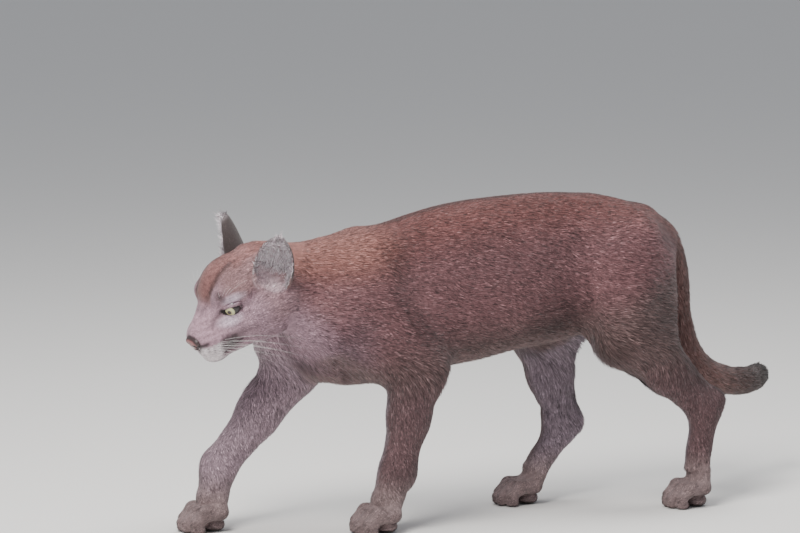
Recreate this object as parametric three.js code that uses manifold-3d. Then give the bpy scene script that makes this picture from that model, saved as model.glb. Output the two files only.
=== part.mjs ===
// A walking cougar at life size, in millimetres: +Z up, head towards -X, its left side towards -Y.
// The flesh is one smooth distance field, meshed region by region and parted by thin cuts.
import * as THREE from "three";
import { mergeVertices } from "three/addons/utils/BufferGeometryUtils.js";
import Module from "manifold-3d";

const wasm = await Module();
wasm.setup();

// Driving sizes
const GAP = 0.3; // between touching pieces
const ORIGIN_SHIFT = [76.74, -2.94]; // brings the middle of the body over the origin
const HEAD_SCALE = 1.07;
const NOSE_TIP = [-731, -20, 374];
const HEAD_TURN = 6.3; // degrees to its left
const HEAD_DIP = 29; // degrees, nose down
const HEAD_TILT = 9.5; // degrees, left side down
const LEFT = -1;
const RIGHT = 1;

// Grid steps of the meshed surfaces
const TRUNK_STEP = 31;
const LIMB_STEP = 24;
const PAW_STEP = 14.5;
const TAIL_STEP = 22;
const FACE_STEP = 10.5;
const SKULL_STEP = 17;

// Joints of the legs, each [x, y, z], with y counted outwards from the middle
const FORELEGS = {
  left: {
    side: LEFT,
    blade: [-345, 40, 520],
    shoulder: [-455, 74, 395],
    elbow: [-292, 92, 300],
    wrist: [-333, 80, 112],
    knuckle: [-362, 78, 34],
    tip: [-412, 78, 16],
  },
  right: {
    side: RIGHT,
    blade: [-365, 40, 520],
    shoulder: [-525, 72, 400],
    elbow: [-478, 88, 282],
    wrist: [-630, 78, 120],
    knuckle: [-648, 76, 36],
    tip: [-698, 76, 16],
  },
};
const HINDLEGS = {
  left: {
    side: LEFT,
    hip: [165, 56, 500],
    seat: [222, 46, 470],
    knee: [138, 96, 342],
    hock: [318, 85, 188],
    heel: [342, 84, 206],
    knuckle: [298, 82, 36],
    tip: [246, 82, 16],
  },
  right: {
    side: RIGHT,
    hip: [150, 56, 500],
    seat: [215, 46, 470],
    knee: [42, 94, 350],
    hock: [92, 86, 142],
    heel: [124, 86, 152],
    knuckle: [16, 82, 34],
    tip: [-38, 82, 15],
  },
};

// Sections of the neck and trunk: x, top, bottom, half width, height of the widest point
const TRUNK = [
  [-640, 500, 430, 34, 465],
  [-600, 520, 412, 56, 468],
  [-560, 534, 380, 68, 462],
  [-520, 544, 330, 76, 448],
  [-480, 550, 292, 84, 430],
  [-440, 556, 278, 92, 420],
  [-400, 562, 272, 98, 415],
  [-350, 568, 274, 101, 415],
  [-290, 583, 283, 102, 415],
  [-220, 600, 293, 104, 420],
  [-140, 611, 303, 106, 430],
  [-60, 616, 317, 105, 440],
  [20, 618, 326, 100, 450],
  [90, 614, 345, 92, 465],
  [150, 604, 385, 88, 480],
  [205, 586, 415, 78, 490],
  [245, 562, 438, 58, 495],
  [268, 535, 462, 34, 498],
];
const TRUNK_ROUNDNESS = 2.25;

// Tail: points of its middle line and its radius there
const TAIL = [
  [225, 0, 545, 30],
  [262, 0, 512, 37],
  [287, 0, 450, 34],
  [296, 0, 375, 31],
  [318, 6, 305, 29],
  [362, 22, 252, 28],
  [425, 48, 222, 28],
  [492, 84, 208, 27],
  [548, 128, 206, 24],
  [566, 146, 208, 18],
];

// Vectors as plain arrays
const add = (a, b) => [a[0] + b[0], a[1] + b[1], a[2] + b[2]];
const sub = (a, b) => [a[0] - b[0], a[1] - b[1], a[2] - b[2]];
const scale = (a, s) => [a[0] * s, a[1] * s, a[2] * s];
const dot = (a, b) => a[0] * b[0] + a[1] * b[1] + a[2] * b[2];
const lerp = (a, b, t) => add(a, scale(sub(b, a), t));
const clamp = (v, low, high) => Math.min(high, Math.max(low, v));

// A distance field is a function of x, y, z that is negative inside.

// A bone with two round ends and flesh that tapers between them.
function bone(a, ra, b, rb) {
  const axis = sub(b, a);
  const l2 = dot(axis, axis);
  return (x, y, z) => {
    const px = x - a[0];
    const py = y - a[1];
    const pz = z - a[2];
    const t = clamp((px * axis[0] + py * axis[1] + pz * axis[2]) / l2, 0, 1);
    const r = ra + (rb - ra) * t;
    return Math.hypot(px - axis[0] * t, py - axis[1] * t, pz - axis[2] * t) - r;
  };
}

// A muscle as an ellipsoid, turned by degrees about its own x, y and z axes.
function muscle(centre, radii, turn = [0, 0, 0]) {
  const angles = turn.map(THREE.MathUtils.degToRad);
  const m = new THREE.Matrix4().makeRotationFromEuler(new THREE.Euler(...angles));
  const e = m.transpose().elements;
  const [a, b, c] = radii;
  return (x, y, z) => {
    const px = x - centre[0];
    const py = y - centre[1];
    const pz = z - centre[2];
    const u = (e[0] * px + e[4] * py + e[8] * pz) / a;
    const v = (e[1] * px + e[5] * py + e[9] * pz) / b;
    const w = (e[2] * px + e[6] * py + e[10] * pz) / c;
    const k0 = Math.hypot(u, v, w);
    const k1 = Math.hypot(u / a, v / b, w / c);
    return k1 < 1e-9 ? -Math.min(a, b, c) : (k0 * (k0 - 1)) / k1;
  };
}

// Joins fields with a fillet about as wide as the given size.
function blend(fillet, ...fields) {
  return (x, y, z) => {
    let d = fields[0](x, y, z);
    for (let i = 1; i < fields.length; i++) {
      const e = fields[i](x, y, z);
      const h = Math.max(fillet - Math.abs(d - e), 0) / fillet;
      d = Math.min(d, e) - h * h * fillet * 0.25;
    }
    return d;
  };
}

// Carves the second field out of the first, with a soft edge.
function carve(edge, body, hole) {
  return (x, y, z) => {
    const d = body(x, y, z);
    const e = -hole(x, y, z);
    const h = Math.max(edge - Math.abs(d - e), 0) / edge;
    return Math.max(d, e) + h * h * edge * 0.25;
  };
}

const grown = (field, by) => (x, y, z) => field(x, y, z) - by;
const mirrored = (field) => (x, y, z) => field(x, Math.abs(y), z);

// A smooth curve through rows of numbers, looked up by their first column.
function smoothRows(rows, at) {
  let i = 0;
  while (i < rows.length - 2 && at > rows[i + 1][0]) i++;
  const [a, b] = [rows[i], rows[i + 1]];
  const before = rows[Math.max(0, i - 1)];
  const after = rows[Math.min(rows.length - 1, i + 2)];
  const span = b[0] - a[0];
  const t = clamp((at - a[0]) / span, 0, 1);
  const [t2, t3] = [t * t, t * t * t];
  return a.map((v, k) => {
    const m0 = ((b[k] - before[k]) / (b[0] - before[0])) * span;
    const m1 = ((after[k] - v) / (after[0] - a[0])) * span;
    return (2 * t3 - 3 * t2 + 1) * v + (t3 - 2 * t2 + t) * m0 + (3 * t2 - 2 * t3) * b[k] + (t3 - t2) * m1;
  });
}

// The neck and trunk, from their sections.
function trunkField() {
  const first = TRUNK[0][0];
  const last = TRUNK[TRUNK.length - 1][0];
  const table = [];
  for (let x = first; x <= last; x += 2) table.push(smoothRows(TRUNK, x));
  const n = TRUNK_ROUNDNESS;
  return (x, y, z) => {
    const [, top, bottom, half, middle] = table[clamp(Math.round((x - first) / 2), 0, table.length - 1)];
    const height = z > middle ? top - middle : middle - bottom;
    const rho = (Math.abs(y / half) ** n + Math.abs((z - middle) / height) ** n) ** (1 / n);
    const radial = (rho - 1) * Math.min(half, height);
    const past = Math.max(first - x, x - last);
    return past > 0 ? Math.hypot(past, Math.max(radial, 0)) : radial;
  };
}

const outwards = (side, p) => [p[0], p[1] * side, p[2]];

// Four toes and their pads, spread across a paw.
function pawFields(ankle, knuckle, tip, halfWidth) {
  const fields = [];
  const toe = halfWidth * 0.36;
  for (let i = 0; i < 4; i++) {
    const across = (i - 1.5) / 1.5;
    const reach = 1 - 0.24 * across * across;
    const spread = across * (halfWidth - toe);
    const start = add(lerp(ankle, knuckle, 0.35), [0, spread * 0.45, 0]);
    const joint = add(knuckle, [(1 - reach) * 40, spread * 0.86, 2]);
    const bend = add(lerp(knuckle, tip, 0.55 * reach), [0, spread, 9]);
    const end = add(lerp(knuckle, tip, 1.02 * reach), [0, spread, 1]);
    fields.push(bone(start, toe, joint, toe * 1.08));
    fields.push(bone(joint, toe * 1.08, bend, toe * 1.02));
    fields.push(bone(bend, toe * 1.02, end, toe * 0.86));
    fields.push(muscle([end[0] + 3, end[1], 8], [toe * 0.95, toe * 0.8, 11]));
  }
  const heelPad = add(lerp(knuckle, tip, 0.05), [6, 0, 0]);
  fields.push(muscle([heelPad[0], heelPad[1], 12], [halfWidth * 0.55, halfWidth * 0.62, 16]));
  return fields;
}

function forelegFields(leg) {
  const p = Object.fromEntries(Object.entries(leg).map(([k, v]) => [k, k === "side" ? v : outwards(leg.side, v)]));
  const out = leg.side;
  const back = [26, 0, 14];
  const point = add(p.elbow, back);
  const middle = lerp(p.elbow, p.wrist, 0.45);
  const upper = blend(
    34,
    bone(p.blade, 36, p.shoulder, 50),
    bone(p.shoulder, 50, p.elbow, 44),
    bone(add(lerp(p.blade, p.shoulder, 0.55), [38, 4 * out, -10]), 46, point, 27),
  );
  const fore = blend(
    16,
    bone(p.elbow, 46, middle, 42),
    bone(middle, 42, p.wrist, 33),
    muscle(add(lerp(p.elbow, p.wrist, 0.22), [-14, 6 * out, 0]), [40, 40, 74], [0, angleOf(p.elbow, p.wrist), 0]),
    bone(point, 25, lerp(p.elbow, p.wrist, 0.4), 30),
    bone(add(p.wrist, [20, 6 * out, 4]), 15, add(p.wrist, [22, 6 * out, -8]), 12),
  );
  const thumb = add(p.wrist, [-8, -26 * out, -14]);
  const paw = blend(
    7,
    bone(p.wrist, 34, lerp(p.wrist, p.knuckle, 0.6), 32),
    bone(thumb, 11, add(thumb, [-14, -4 * out, -20]), 8),
    ...pawFields(p.wrist, p.knuckle, p.tip, 46),
  );
  return { upper, fore, paw, p };
}

// Degrees from straight down to the line between two joints, in the side view.
function angleOf(from, to) {
  return THREE.MathUtils.radToDeg(Math.atan2(from[0] - to[0], from[2] - to[2]));
}

function hindlegFields(leg) {
  const p = Object.fromEntries(Object.entries(leg).map(([k, v]) => [k, k === "side" ? v : outwards(leg.side, v)]));
  const out = leg.side;
  const calf = add(lerp(p.knee, p.heel, 0.45), [8, 0, 2]);
  const upper = blend(
    40,
    bone(p.hip, 74, p.knee, 56),
    bone(add(p.hip, [-46, 4 * out, -10]), 52, add(p.knee, [-14, 0, 12]), 44),
    bone(p.seat, 48, add(lerp(p.knee, p.hock, 0.2), [26, 0, 12]), 44),
  );
  const shank = blend(
    18,
    bone(p.knee, 50, lerp(p.knee, p.hock, 0.5), 40),
    bone(lerp(p.knee, p.hock, 0.5), 40, p.hock, 27),
    bone(add(p.knee, [34, 0, 6]), 40, calf, 32),
    bone(calf, 32, p.heel, 16),
  );
  const foot = blend(
    14,
    bone(p.hock, 28, p.heel, 17),
    bone(p.hock, 27, lerp(p.hock, p.knuckle, 0.5), 25),
    bone(p.heel, 16, lerp(p.hock, p.knuckle, 0.6), 22),
  );
  const paw = blend(
    7,
    foot,
    bone(lerp(p.hock, p.knuckle, 0.5), 26, lerp(p.hock, p.knuckle, 0.9), 26),
    ...pawFields(p.hock, p.knuckle, p.tip, 41),
  );
  return { upper, shank, paw, p };
}

function tailField() {
  const curve = new THREE.CatmullRomCurve3(TAIL.map(([x, y, z]) => new THREE.Vector3(x, y, z)));
  const rings = 28;
  const radius = (t) => {
    const at = t * (TAIL.length - 1);
    const i = Math.min(TAIL.length - 2, Math.floor(at));
    return THREE.MathUtils.lerp(TAIL[i][3], TAIL[i + 1][3], at - i);
  };
  const links = [];
  for (let i = 0; i < rings; i++) {
    const [s, t] = [i / rings, (i + 1) / rings];
    links.push(bone(curve.getPoint(s).toArray(), radius(s), curve.getPoint(t).toArray(), radius(t)));
  }
  return blend(12, ...links);
}

// The head in its own frame: x back from just before the nose, y to the side, z up, before scaling.
const EYE = [88, 38, 29.5];
const EYE_RADIUS = 15.5;

function headField() {
  const half = blend(
    13,
    muscle([160, 0, 26], [80, 60, 64]),
    muscle([116, 0, 38], [63, 52, 62]),
    bone([104, 0, 34], 36, [34, 0, 4], 19),
    bone([88, 22, 20], 20, [39, 12, 0], 17),
    bone([61, 0, 16], 28, [27, 0, -1], 17),
    muscle([38, 18, -16], [28, 26, 28], [0, 0, -12]),
    bone([86, 43, -1], 20, [158, 63, 2], 27),
    bone([78, 25, 54], 16, [114, 42, 48], 15),
    bone([66, 34, -8], 18, [100, 44, -8], 22),
    muscle([142, 46, -14], [50, 36, 44]),
    bone([50, 8, -42], 18, [150, 44, -32], 28),
    muscle([38, 0, -45], [21, 24, 18]),
    muscle([186, 0, -14], [60, 56, 54]),
    muscle([178, 50, 28], [22, 20, 28]),
  );
  const socket = muscle([77, 46, 29], [17, 12, 8], [0, 0, 34]);
  return mirrored(carve(8, half, socket));
}

const HEAD_MATRIX = (() => {
  const d = THREE.MathUtils.degToRad;
  const m = new THREE.Matrix4().makeTranslation(...NOSE_TIP);
  m.multiply(new THREE.Matrix4().makeRotationZ(d(HEAD_TURN)));
  m.multiply(new THREE.Matrix4().makeRotationY(-d(HEAD_DIP)));
  m.multiply(new THREE.Matrix4().makeRotationX(d(HEAD_TILT)));
  m.multiply(new THREE.Matrix4().makeScale(HEAD_SCALE, HEAD_SCALE, HEAD_SCALE));
  return m;
})();
const HEAD_INVERSE = HEAD_MATRIX.clone().invert();

// A field of the head's own frame, seen from the frame of the whole animal.
function worldField(field) {
  const e = HEAD_INVERSE.elements;
  return (x, y, z) => {
    const u = e[0] * x + e[4] * y + e[8] * z + e[12];
    const v = e[1] * x + e[5] * y + e[9] * z + e[13];
    const w = e[2] * x + e[6] * y + e[10] * z + e[14];
    return field(u, v, w) * HEAD_SCALE;
  };
}

// Grid lines from one end to the other at about the given step.
function ticks(from, to, step) {
  const n = Math.max(1, Math.round((to - from) / step));
  return Array.from({ length: n + 1 }, (_, i) => from + ((to - from) * i) / n);
}

// Meshes the surface of a field on a grid: in each cell one vertex for each sheet that crosses it,
// so that the mesh closes even where two sheets come near each other.
const CELL_FACES = [
  [0, 2, 6, 4],
  [1, 3, 7, 5],
  [0, 1, 5, 4],
  [2, 3, 7, 6],
  [0, 1, 3, 2],
  [4, 5, 7, 6],
];
const edgeKey = (a, b) => Math.min(a, b) * 8 + Math.max(a, b);

function sheetsOf(inside) {
  const parent = new Map();
  const root = (e) => (parent.get(e) === e ? e : root(parent.get(e)));
  for (const face of CELL_FACES) {
    const crossed = face.map((a, n) => [a, face[(n + 1) % 4]]).filter(([a, b]) => inside[a] !== inside[b]);
    for (const [a, b] of crossed) if (!parent.has(edgeKey(a, b))) parent.set(edgeKey(a, b), edgeKey(a, b));
    if (crossed.length === 2) {
      parent.set(root(edgeKey(...crossed[0])), root(edgeKey(...crossed[1])));
    } else if (crossed.length === 4) {
      face.forEach((corner, n) => {
        if (!inside[corner]) return;
        const before = edgeKey(face[(n + 3) % 4], corner);
        const after = edgeKey(corner, face[(n + 1) % 4]);
        parent.set(root(before), root(after));
      });
    }
  }
  const sheets = new Map();
  for (const e of parent.keys()) {
    const r = root(e);
    if (!sheets.has(r)) sheets.set(r, []);
    sheets.get(r).push(e);
  }
  return [...sheets.values()];
}

function polygonise(field, xs, ys, zs) {
  const [nx, ny, nz] = [xs.length, ys.length, zs.length];
  const at = (i, j, k) => i + nx * (j + ny * k);
  const values = new Float64Array(nx * ny * nz);
  for (let k = 0; k < nz; k++)
    for (let j = 0; j < ny; j++)
      for (let i = 0; i < nx; i++) {
        const rim = i === 0 || j === 0 || k === 0 || i === nx - 1 || j === ny - 1 || k === nz - 1;
        const d = field(xs[i], ys[j], zs[k]) || 1e-6;
        values[at(i, j, k)] = rim ? Math.max(d, 1) : d;
      }
  const vertexAt = new Map();
  const positions = [];
  const indices = [];
  const spot = (i, j, k, corner) => [i + (corner & 1), j + ((corner >> 1) & 1), k + (corner >> 2)];
  const place = ([i, j, k]) => [xs[i], ys[j], zs[k]];
  for (let k = 0; k < nz - 1; k++)
    for (let j = 0; j < ny - 1; j++)
      for (let i = 0; i < nx - 1; i++) {
        const value = [0, 1, 2, 3, 4, 5, 6, 7].map((c) => values[at(...spot(i, j, k, c))]);
        const inside = value.map((v) => v < 0);
        if (inside.every((v) => v === inside[0])) continue;
        const low = place([i, j, k]);
        const high = place([i + 1, j + 1, k + 1]);
        const rim = i === 0 || j === 0 || k === 0 || i === nx - 2 || j === ny - 2 || k === nz - 2;
        for (const sheet of sheetsOf(inside)) {
          let sum = [0, 0, 0];
          for (const e of sheet) {
            const [a, b] = [e >> 3, e & 7];
            const t = value[a] / (value[a] - value[b]);
            sum = add(sum, lerp(place(spot(i, j, k, a)), place(spot(i, j, k, b)), t));
          }
          let p = scale(sum, 1 / sheet.length);
          for (let step = 0; step < 3 && !rim; step++) {
            const d = field(...p);
            const slope = [0, 1, 2].map((c) => {
              const q = [...p];
              q[c] += 0.5;
              return (field(...q) - d) / 0.5;
            });
            p = sub(p, scale(slope, d / Math.max(dot(slope, slope), 0.3)));
            p = p.map((v, c) => clamp(v, lerp(low, high, 0.03)[c], lerp(low, high, 0.97)[c]));
          }
          for (const e of sheet) vertexAt.set(at(i, j, k) * 64 + e, positions.length / 3);
          positions.push(...p);
        }
      }
  const point = (n) => positions.slice(3 * n, 3 * n + 3);
  const span = (a, b) => Math.hypot(...sub(point(a), point(b)));
  const quad = (corners, flipped) => {
    const v = flipped ? corners.reverse() : corners;
    if (span(v[0], v[2]) <= span(v[1], v[3])) indices.push(v[0], v[1], v[2], v[0], v[2], v[3]);
    else indices.push(v[1], v[2], v[3], v[1], v[3], v[0]);
  };
  // The four cells round a grid edge, in order, for an edge along each axis
  const rounds = [
    [[0, -1, -1], [0, 0, -1], [0, 0, 0], [0, -1, 0]],
    [[-1, 0, -1], [-1, 0, 0], [0, 0, 0], [0, 0, -1]],
    [[-1, -1, 0], [0, -1, 0], [0, 0, 0], [-1, 0, 0]],
  ];
  for (let k = 0; k < nz - 1; k++)
    for (let j = 0; j < ny - 1; j++)
      for (let i = 0; i < nx - 1; i++) {
        const inside = values[at(i, j, k)] < 0;
        for (let axis = 0; axis < 3; axis++) {
          const far = [i, j, k];
          if (far[(axis + 1) % 3] === 0 || far[(axis + 2) % 3] === 0) continue;
          far[axis] += 1;
          if (inside === values[at(...far)] < 0) continue;
          const corners = rounds[axis].map(([a, b, c]) => {
            const start = -a + 2 * -b + 4 * -c;
            return vertexAt.get(at(i + a, j + b, k + c) * 64 + edgeKey(start, start + (1 << axis)));
          });
          quad(corners, !inside);
        }
      }
  const geometry = new THREE.BufferGeometry();
  geometry.setAttribute("position", new THREE.Float32BufferAttribute(positions, 3));
  geometry.setIndex(indices);
  return geometry;
}

// Between three.js geometry and cut solids
function solid(geometry, matrix) {
  const g = geometry.clone();
  if (matrix) g.applyMatrix4(matrix);
  g.deleteAttribute("normal");
  g.deleteAttribute("uv");
  const merged = mergeVertices(g, 1e-4);
  const mesh = new wasm.Mesh({
    numProp: 3,
    vertProperties: new Float32Array(merged.attributes.position.array),
    triVerts: new Uint32Array(merged.index.array),
  });
  return new wasm.Manifold(mesh);
}

const volume = (s) => (typeof s.volume === "function" ? s.volume() : s.getProperties().volume);

// The largest closed piece of a cut solid.
function largest(s) {
  return s.decompose().reduce((best, piece) => (volume(piece) > volume(best) ? piece : best));
}

function box(x0, x1, y0, y1, z0, z1, matrix) {
  const g = new THREE.BoxGeometry(x1 - x0, y1 - y0, z1 - z0);
  g.translate((x0 + x1) / 2, (y0 + y1) / 2, (z0 + z1) / 2);
  return solid(g, matrix);
}

// A side outline of [x, z] corners, drawn out from y0 to y1.
function slab(outline, y0, y1, matrix) {
  const shape = new THREE.Shape(outline.map(([x, z]) => new THREE.Vector2(x, z)));
  const g = new THREE.ExtrudeGeometry(shape, { depth: Math.abs(y1 - y0), bevelEnabled: false });
  g.rotateX(Math.PI / 2);
  g.translate(0, Math.max(y0, y1), 0);
  return solid(g, matrix);
}

// Moves every corner of a closed outline outwards.
function widened(outline, by) {
  const area = outline.reduce((sum, [x, z], i) => {
    const [u, w] = outline[(i + 1) % outline.length];
    return sum + x * w - u * z;
  }, 0);
  const turn = Math.sign(area);
  return outline.map((p, i) => {
    const a = outline[(i + outline.length - 1) % outline.length];
    const b = outline[(i + 1) % outline.length];
    const n1 = edgeNormal(a, p, turn);
    const n2 = edgeNormal(p, b, turn);
    const k = by / (1 + n1[0] * n2[0] + n1[1] * n2[1]);
    return [p[0] + (n1[0] + n2[0]) * k, p[1] + (n1[1] + n2[1]) * k];
  });
}

function edgeNormal(a, b, turn) {
  const [dx, dz] = [b[0] - a[0], b[1] - a[1]];
  const l = Math.hypot(dx, dz);
  return [(dz / l) * turn, (-dx / l) * turn];
}

// All the flesh as one field
const fore = { left: forelegFields(FORELEGS.left), right: forelegFields(FORELEGS.right) };
const hind = { left: hindlegFields(HINDLEGS.left), right: hindlegFields(HINDLEGS.right) };
const skull = headField();
const foreField = (leg) => blend(22, leg.upper, leg.fore, leg.paw);
const hindField = (leg) => blend(26, leg.upper, leg.shank, leg.paw);
const body = blend(
  36,
  blend(44, trunkField(), worldField(skull)),
  foreField(fore.left),
  foreField(fore.right),
  hindField(hind.left),
  hindField(hind.right),
  bone([222, 0, 545], 32, [262, 0, 512], 37),
);

function mesh(field, [x0, x1, xStep], [y0, y1, yStep], [z0, z1, zStep], matrix) {
  return solid(polygonise(field, ticks(x0, x1, xStep), ticks(y0, y1, yStep), ticks(z0, z1, zStep)), matrix);
}

// Everything on one side of a plane: the side that the normal points to, starting so far past it.
function beyond(point, normal, start = 0) {
  const n = new THREE.Vector3(...normal).normalize();
  const turn = new THREE.Quaternion().setFromUnitVectors(new THREE.Vector3(0, 0, 1), n);
  const m = new THREE.Matrix4().compose(new THREE.Vector3(...point), turn, new THREE.Vector3(1, 1, 1));
  return box(-900, 900, -900, 900, start, start + 1800, m);
}

const flip = (n) => scale(n, -1);
const bisector = (a, b, c) => {
  const u = sub(b, a);
  const v = sub(c, b);
  const n = add(scale(u, 1 / Math.hypot(...u)), scale(v, 1 / Math.hypot(...v)));
  return [n[0], 0, n[2]];
};

// The head's side outline in its own frame, up to the cut behind the ears
const HEAD_OUTLINE = [[-60, -115], [138, -115], [176, -50], [204, 20], [204, 180], [-60, 180]];
const headRoom = slab(widened(HEAD_OUTLINE, GAP), -160, 160, HEAD_MATRIX);

const solids = new Map();
const limbRoom = []; // what the legs take out of the trunk
const rearRoom = []; // what the haunches take out of the tail

// Parts one leg into three lengths: the upper one is a slab on the trunk's side.
function partLeg({ side, names, outline, below, depth, cuts, reach, pawReach }) {
  const range = (inner) => (side === LEFT ? [-200, -inner] : [inner, 200]);
  const low = [[reach[0], below], [reach[0], -30], [reach[1], -30], [reach[1], below]];
  const region = slab(outline, ...range(depth)).add(slab(low, ...range(5)));
  limbRoom.push(slab(widened(outline, GAP), ...range(depth - GAP)).add(slab(widened(low, GAP), ...range(5 - GAP))));
  const ys = side === LEFT ? [-175, 10] : [-10, 175];
  const limbMesh = (by) =>
    mesh(grown(body, by), [reach[0] - 30, reach[1] + 30, LIMB_STEP], [...ys, LIMB_STEP], [-30, 630, LIMB_STEP]);
  const limb = limbMesh(0);
  if (names[0].startsWith("thigh")) rearRoom.push(limbMesh(GAP * 2));
  const fine = mesh(body, [...pawReach[0], PAW_STEP], [...ys, PAW_STEP], [-30, pawReach[1], PAW_STEP]);
  const [first, second] = cuts;
  const floor = beyond([0, 0, 0], [0, 0, 1]);
  const kept = limb.intersect(region).subtract(headRoom);
  solids.set(names[0], largest(kept.intersect(beyond(first.at, flip(first.normal), GAP / 2))));
  const lower = kept.intersect(beyond(first.at, first.normal, GAP / 2));
  solids.set(names[1], largest(lower.intersect(beyond(second.at, flip(second.normal), GAP / 2))));
  const paw = fine.intersect(region).intersect(beyond(second.at, second.normal, GAP / 2)).intersect(floor);
  solids.set(names[2], largest(paw));
}

for (const key of ["left", "right"]) {
  const p = fore[key].p;
  const near = key === "left";
  const wristCut = add(lerp(p.wrist, p.elbow, 0.1), [0, 0, 0]);
  partLeg({
    side: FORELEGS[key].side,
    names: ["upper_arm_" + key, "forearm_" + key, "forepaw_" + key],
    outline: near
      ? [[-300, 548], [-385, 552], [-505, 440], [-512, 360], [-470, 262], [-215, 262], [-225, 370]]
      : [[-320, 548], [-405, 552], [-570, 450], [-592, 370], [-566, 240], [-410, 240], [-405, 370]],
    below: near ? 266 : 258,
    depth: 58,
    cuts: [
      { at: add(p.elbow, [0, 0, -14]), normal: bisector(p.shoulder, p.elbow, p.wrist) },
      { at: wristCut, normal: bisector(p.elbow, p.wrist, p.knuckle) },
    ],
    reach: near ? [-500, -215] : [-760, -405],
    pawReach: near ? [[-450, -280], 165] : [[-740, -570], 175],
  });
  const q = hind[key].p;
  const hockNormal = bisector(q.knee, q.hock, q.knuckle);
  partLeg({
    side: HINDLEGS[key].side,
    names: ["thigh_" + key, "shank_" + key, "hind_foot_" + key],
    outline: near
      ? [[58, 470], [88, 566], [212, 590], [292, 540], [310, 440], [330, 325], [64, 325]]
      : [[-6, 400], [20, 530], [80, 580], [212, 590], [292, 540], [292, 440], [240, 298], [-22, 298]],
    below: near ? 330 : 298,
    depth: 34,
    cuts: [
      { at: add(q.knee, [0, 0, -6]), normal: bisector(q.hip, q.knee, q.hock) },
      { at: add(q.hock, scale(hockNormal, -22)), normal: hockNormal },
    ],
    reach: near ? [40, 400] : [-75, 245],
    pawReach: near ? [[215, 380], 250] : [[-75, 150], 195],
  });
}

// Neck and trunk
const trunkMesh = (by) =>
  mesh(grown(body, by), [-700, 330, TRUNK_STEP], [-175, 175, TRUNK_STEP * 0.92], [190, 640, TRUNK_STEP]);
const torso = limbRoom.reduce((rest, room) => rest.subtract(room), trunkMesh(0));
rearRoom.push(trunkMesh(GAP * 2));
const cutsAlong = [
  { at: [-440, 0, 400], normal: [-0.9, 0, -0.42] },
  { at: [-215, 0, 400], normal: [-1, 0, 0] },
  { at: [-5, 0, 400], normal: [-1, 0, 0.1] },
];
const between = (front, back) => {
  let s = torso;
  if (front) s = s.intersect(beyond(front.at, flip(front.normal), GAP / 2));
  if (back) s = s.intersect(beyond(back.at, back.normal, GAP / 2));
  return s;
};
solids.set("neck", largest(between(null, cutsAlong[0]).subtract(headRoom)));
solids.set("chest", largest(between(cutsAlong[0], cutsAlong[1]).subtract(headRoom)));
solids.set("belly", largest(between(cutsAlong[1], cutsAlong[2])));
solids.set("rump", largest(between(cutsAlong[2], null)));

// Tail, clear of the rump and thighs
const tail = tailField();
const wholeTail = rearRoom.reduce(
  (rest, room) => rest.subtract(room),
  mesh(tail, [180, 610, TAIL_STEP], [-60, 190, TAIL_STEP], [160, 600, TAIL_STEP]),
);
const clearOf = (s, names, shifts) =>
  names.reduce((rest, name) => shifts.reduce((r, shift) => r.subtract(solids.get(name).translate(shift)), rest), s);
const tailCuts = [
  { at: [300, 0, 372], normal: [0.1, 0, -1] },
  { at: [430, 50, 222], normal: [1, 0.35, -0.35] },
];
const tailTop = wholeTail.intersect(beyond(tailCuts[0].at, flip(tailCuts[0].normal), GAP / 2));
const rearNames = ["rump", "thigh_left", "thigh_right"];
solids.set("tail_root", largest(clearOf(tailTop, rearNames, [[0, 0, 0], [GAP, 0, 0]])));
const tailRest = wholeTail.intersect(beyond(tailCuts[0].at, tailCuts[0].normal, GAP / 2));
solids.set("tail_middle", largest(tailRest.intersect(beyond(tailCuts[1].at, flip(tailCuts[1].normal), GAP / 2))));
solids.set("tail_tip", largest(tailRest.intersect(beyond(tailCuts[1].at, tailCuts[1].normal, GAP / 2))));

// Head, in its own frame
const inHeadFrame = (field) => {
  const e = HEAD_MATRIX.elements;
  return (x, y, z) => {
    const u = e[0] * x + e[4] * y + e[8] * z + e[12];
    const v = e[1] * x + e[5] * y + e[9] * z + e[13];
    const w = e[2] * x + e[6] * y + e[10] * z + e[14];
    return field(u, v, w) / HEAD_SCALE;
  };
};
const headBlend = inHeadFrame(body);
const headXs = [...ticks(-20, 112, FACE_STEP), ...ticks(112, 236, SKULL_STEP).slice(1)];
const headYs = [...ticks(-112, -50, SKULL_STEP), ...ticks(-50, 50, FACE_STEP).slice(1), ...ticks(50, 112, SKULL_STEP).slice(1)];
const headZs = ticks(-110, 112, FACE_STEP * 1.15);
const headMesh = (by) => solid(polygonise(grown(headBlend, by), headXs, headYs, headZs));
let head = headMesh(0).intersect(slab(HEAD_OUTLINE, -160, 160));

// Lids: a cap over each eyeball with an almond opening
const EYE_LOOK = [-0.8, 0.6, 0.04];
const eyeMatrix = (side) => {
  const look = new THREE.Vector3(EYE_LOOK[0], EYE_LOOK[1] * side, EYE_LOOK[2]).normalize();
  const across = new THREE.Vector3(0, 0, 1).cross(look).normalize();
  const up = look.clone().cross(across);
  const slant = new THREE.Matrix4().makeRotationZ(THREE.MathUtils.degToRad(-4) * side);
  const m = new THREE.Matrix4().makeBasis(across, up, look).multiply(slant);
  return m.setPosition(EYE[0], EYE[1] * side, EYE[2]);
};
const ball = (r, m) => solid(new THREE.SphereGeometry(r, 14, 9), m);
const almond = new THREE.Shape();
almond.moveTo(-14, 0);
almond.quadraticCurveTo(0, 11, 14, 0);
almond.quadraticCurveTo(0, -14, -14, 0);
for (const side of [LEFT, RIGHT]) {
  const m = eyeMatrix(side);
  const opening = new THREE.ExtrudeGeometry(almond, { depth: 40, bevelEnabled: false, curveSegments: 5 });
  head = head.add(ball(EYE_RADIUS + 3, m)).subtract(solid(opening, m)).subtract(ball(EYE_RADIUS + GAP, m));
  solids.set(side === LEFT ? "eye_left" : "eye_right", ball(EYE_RADIUS, m));
}

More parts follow.
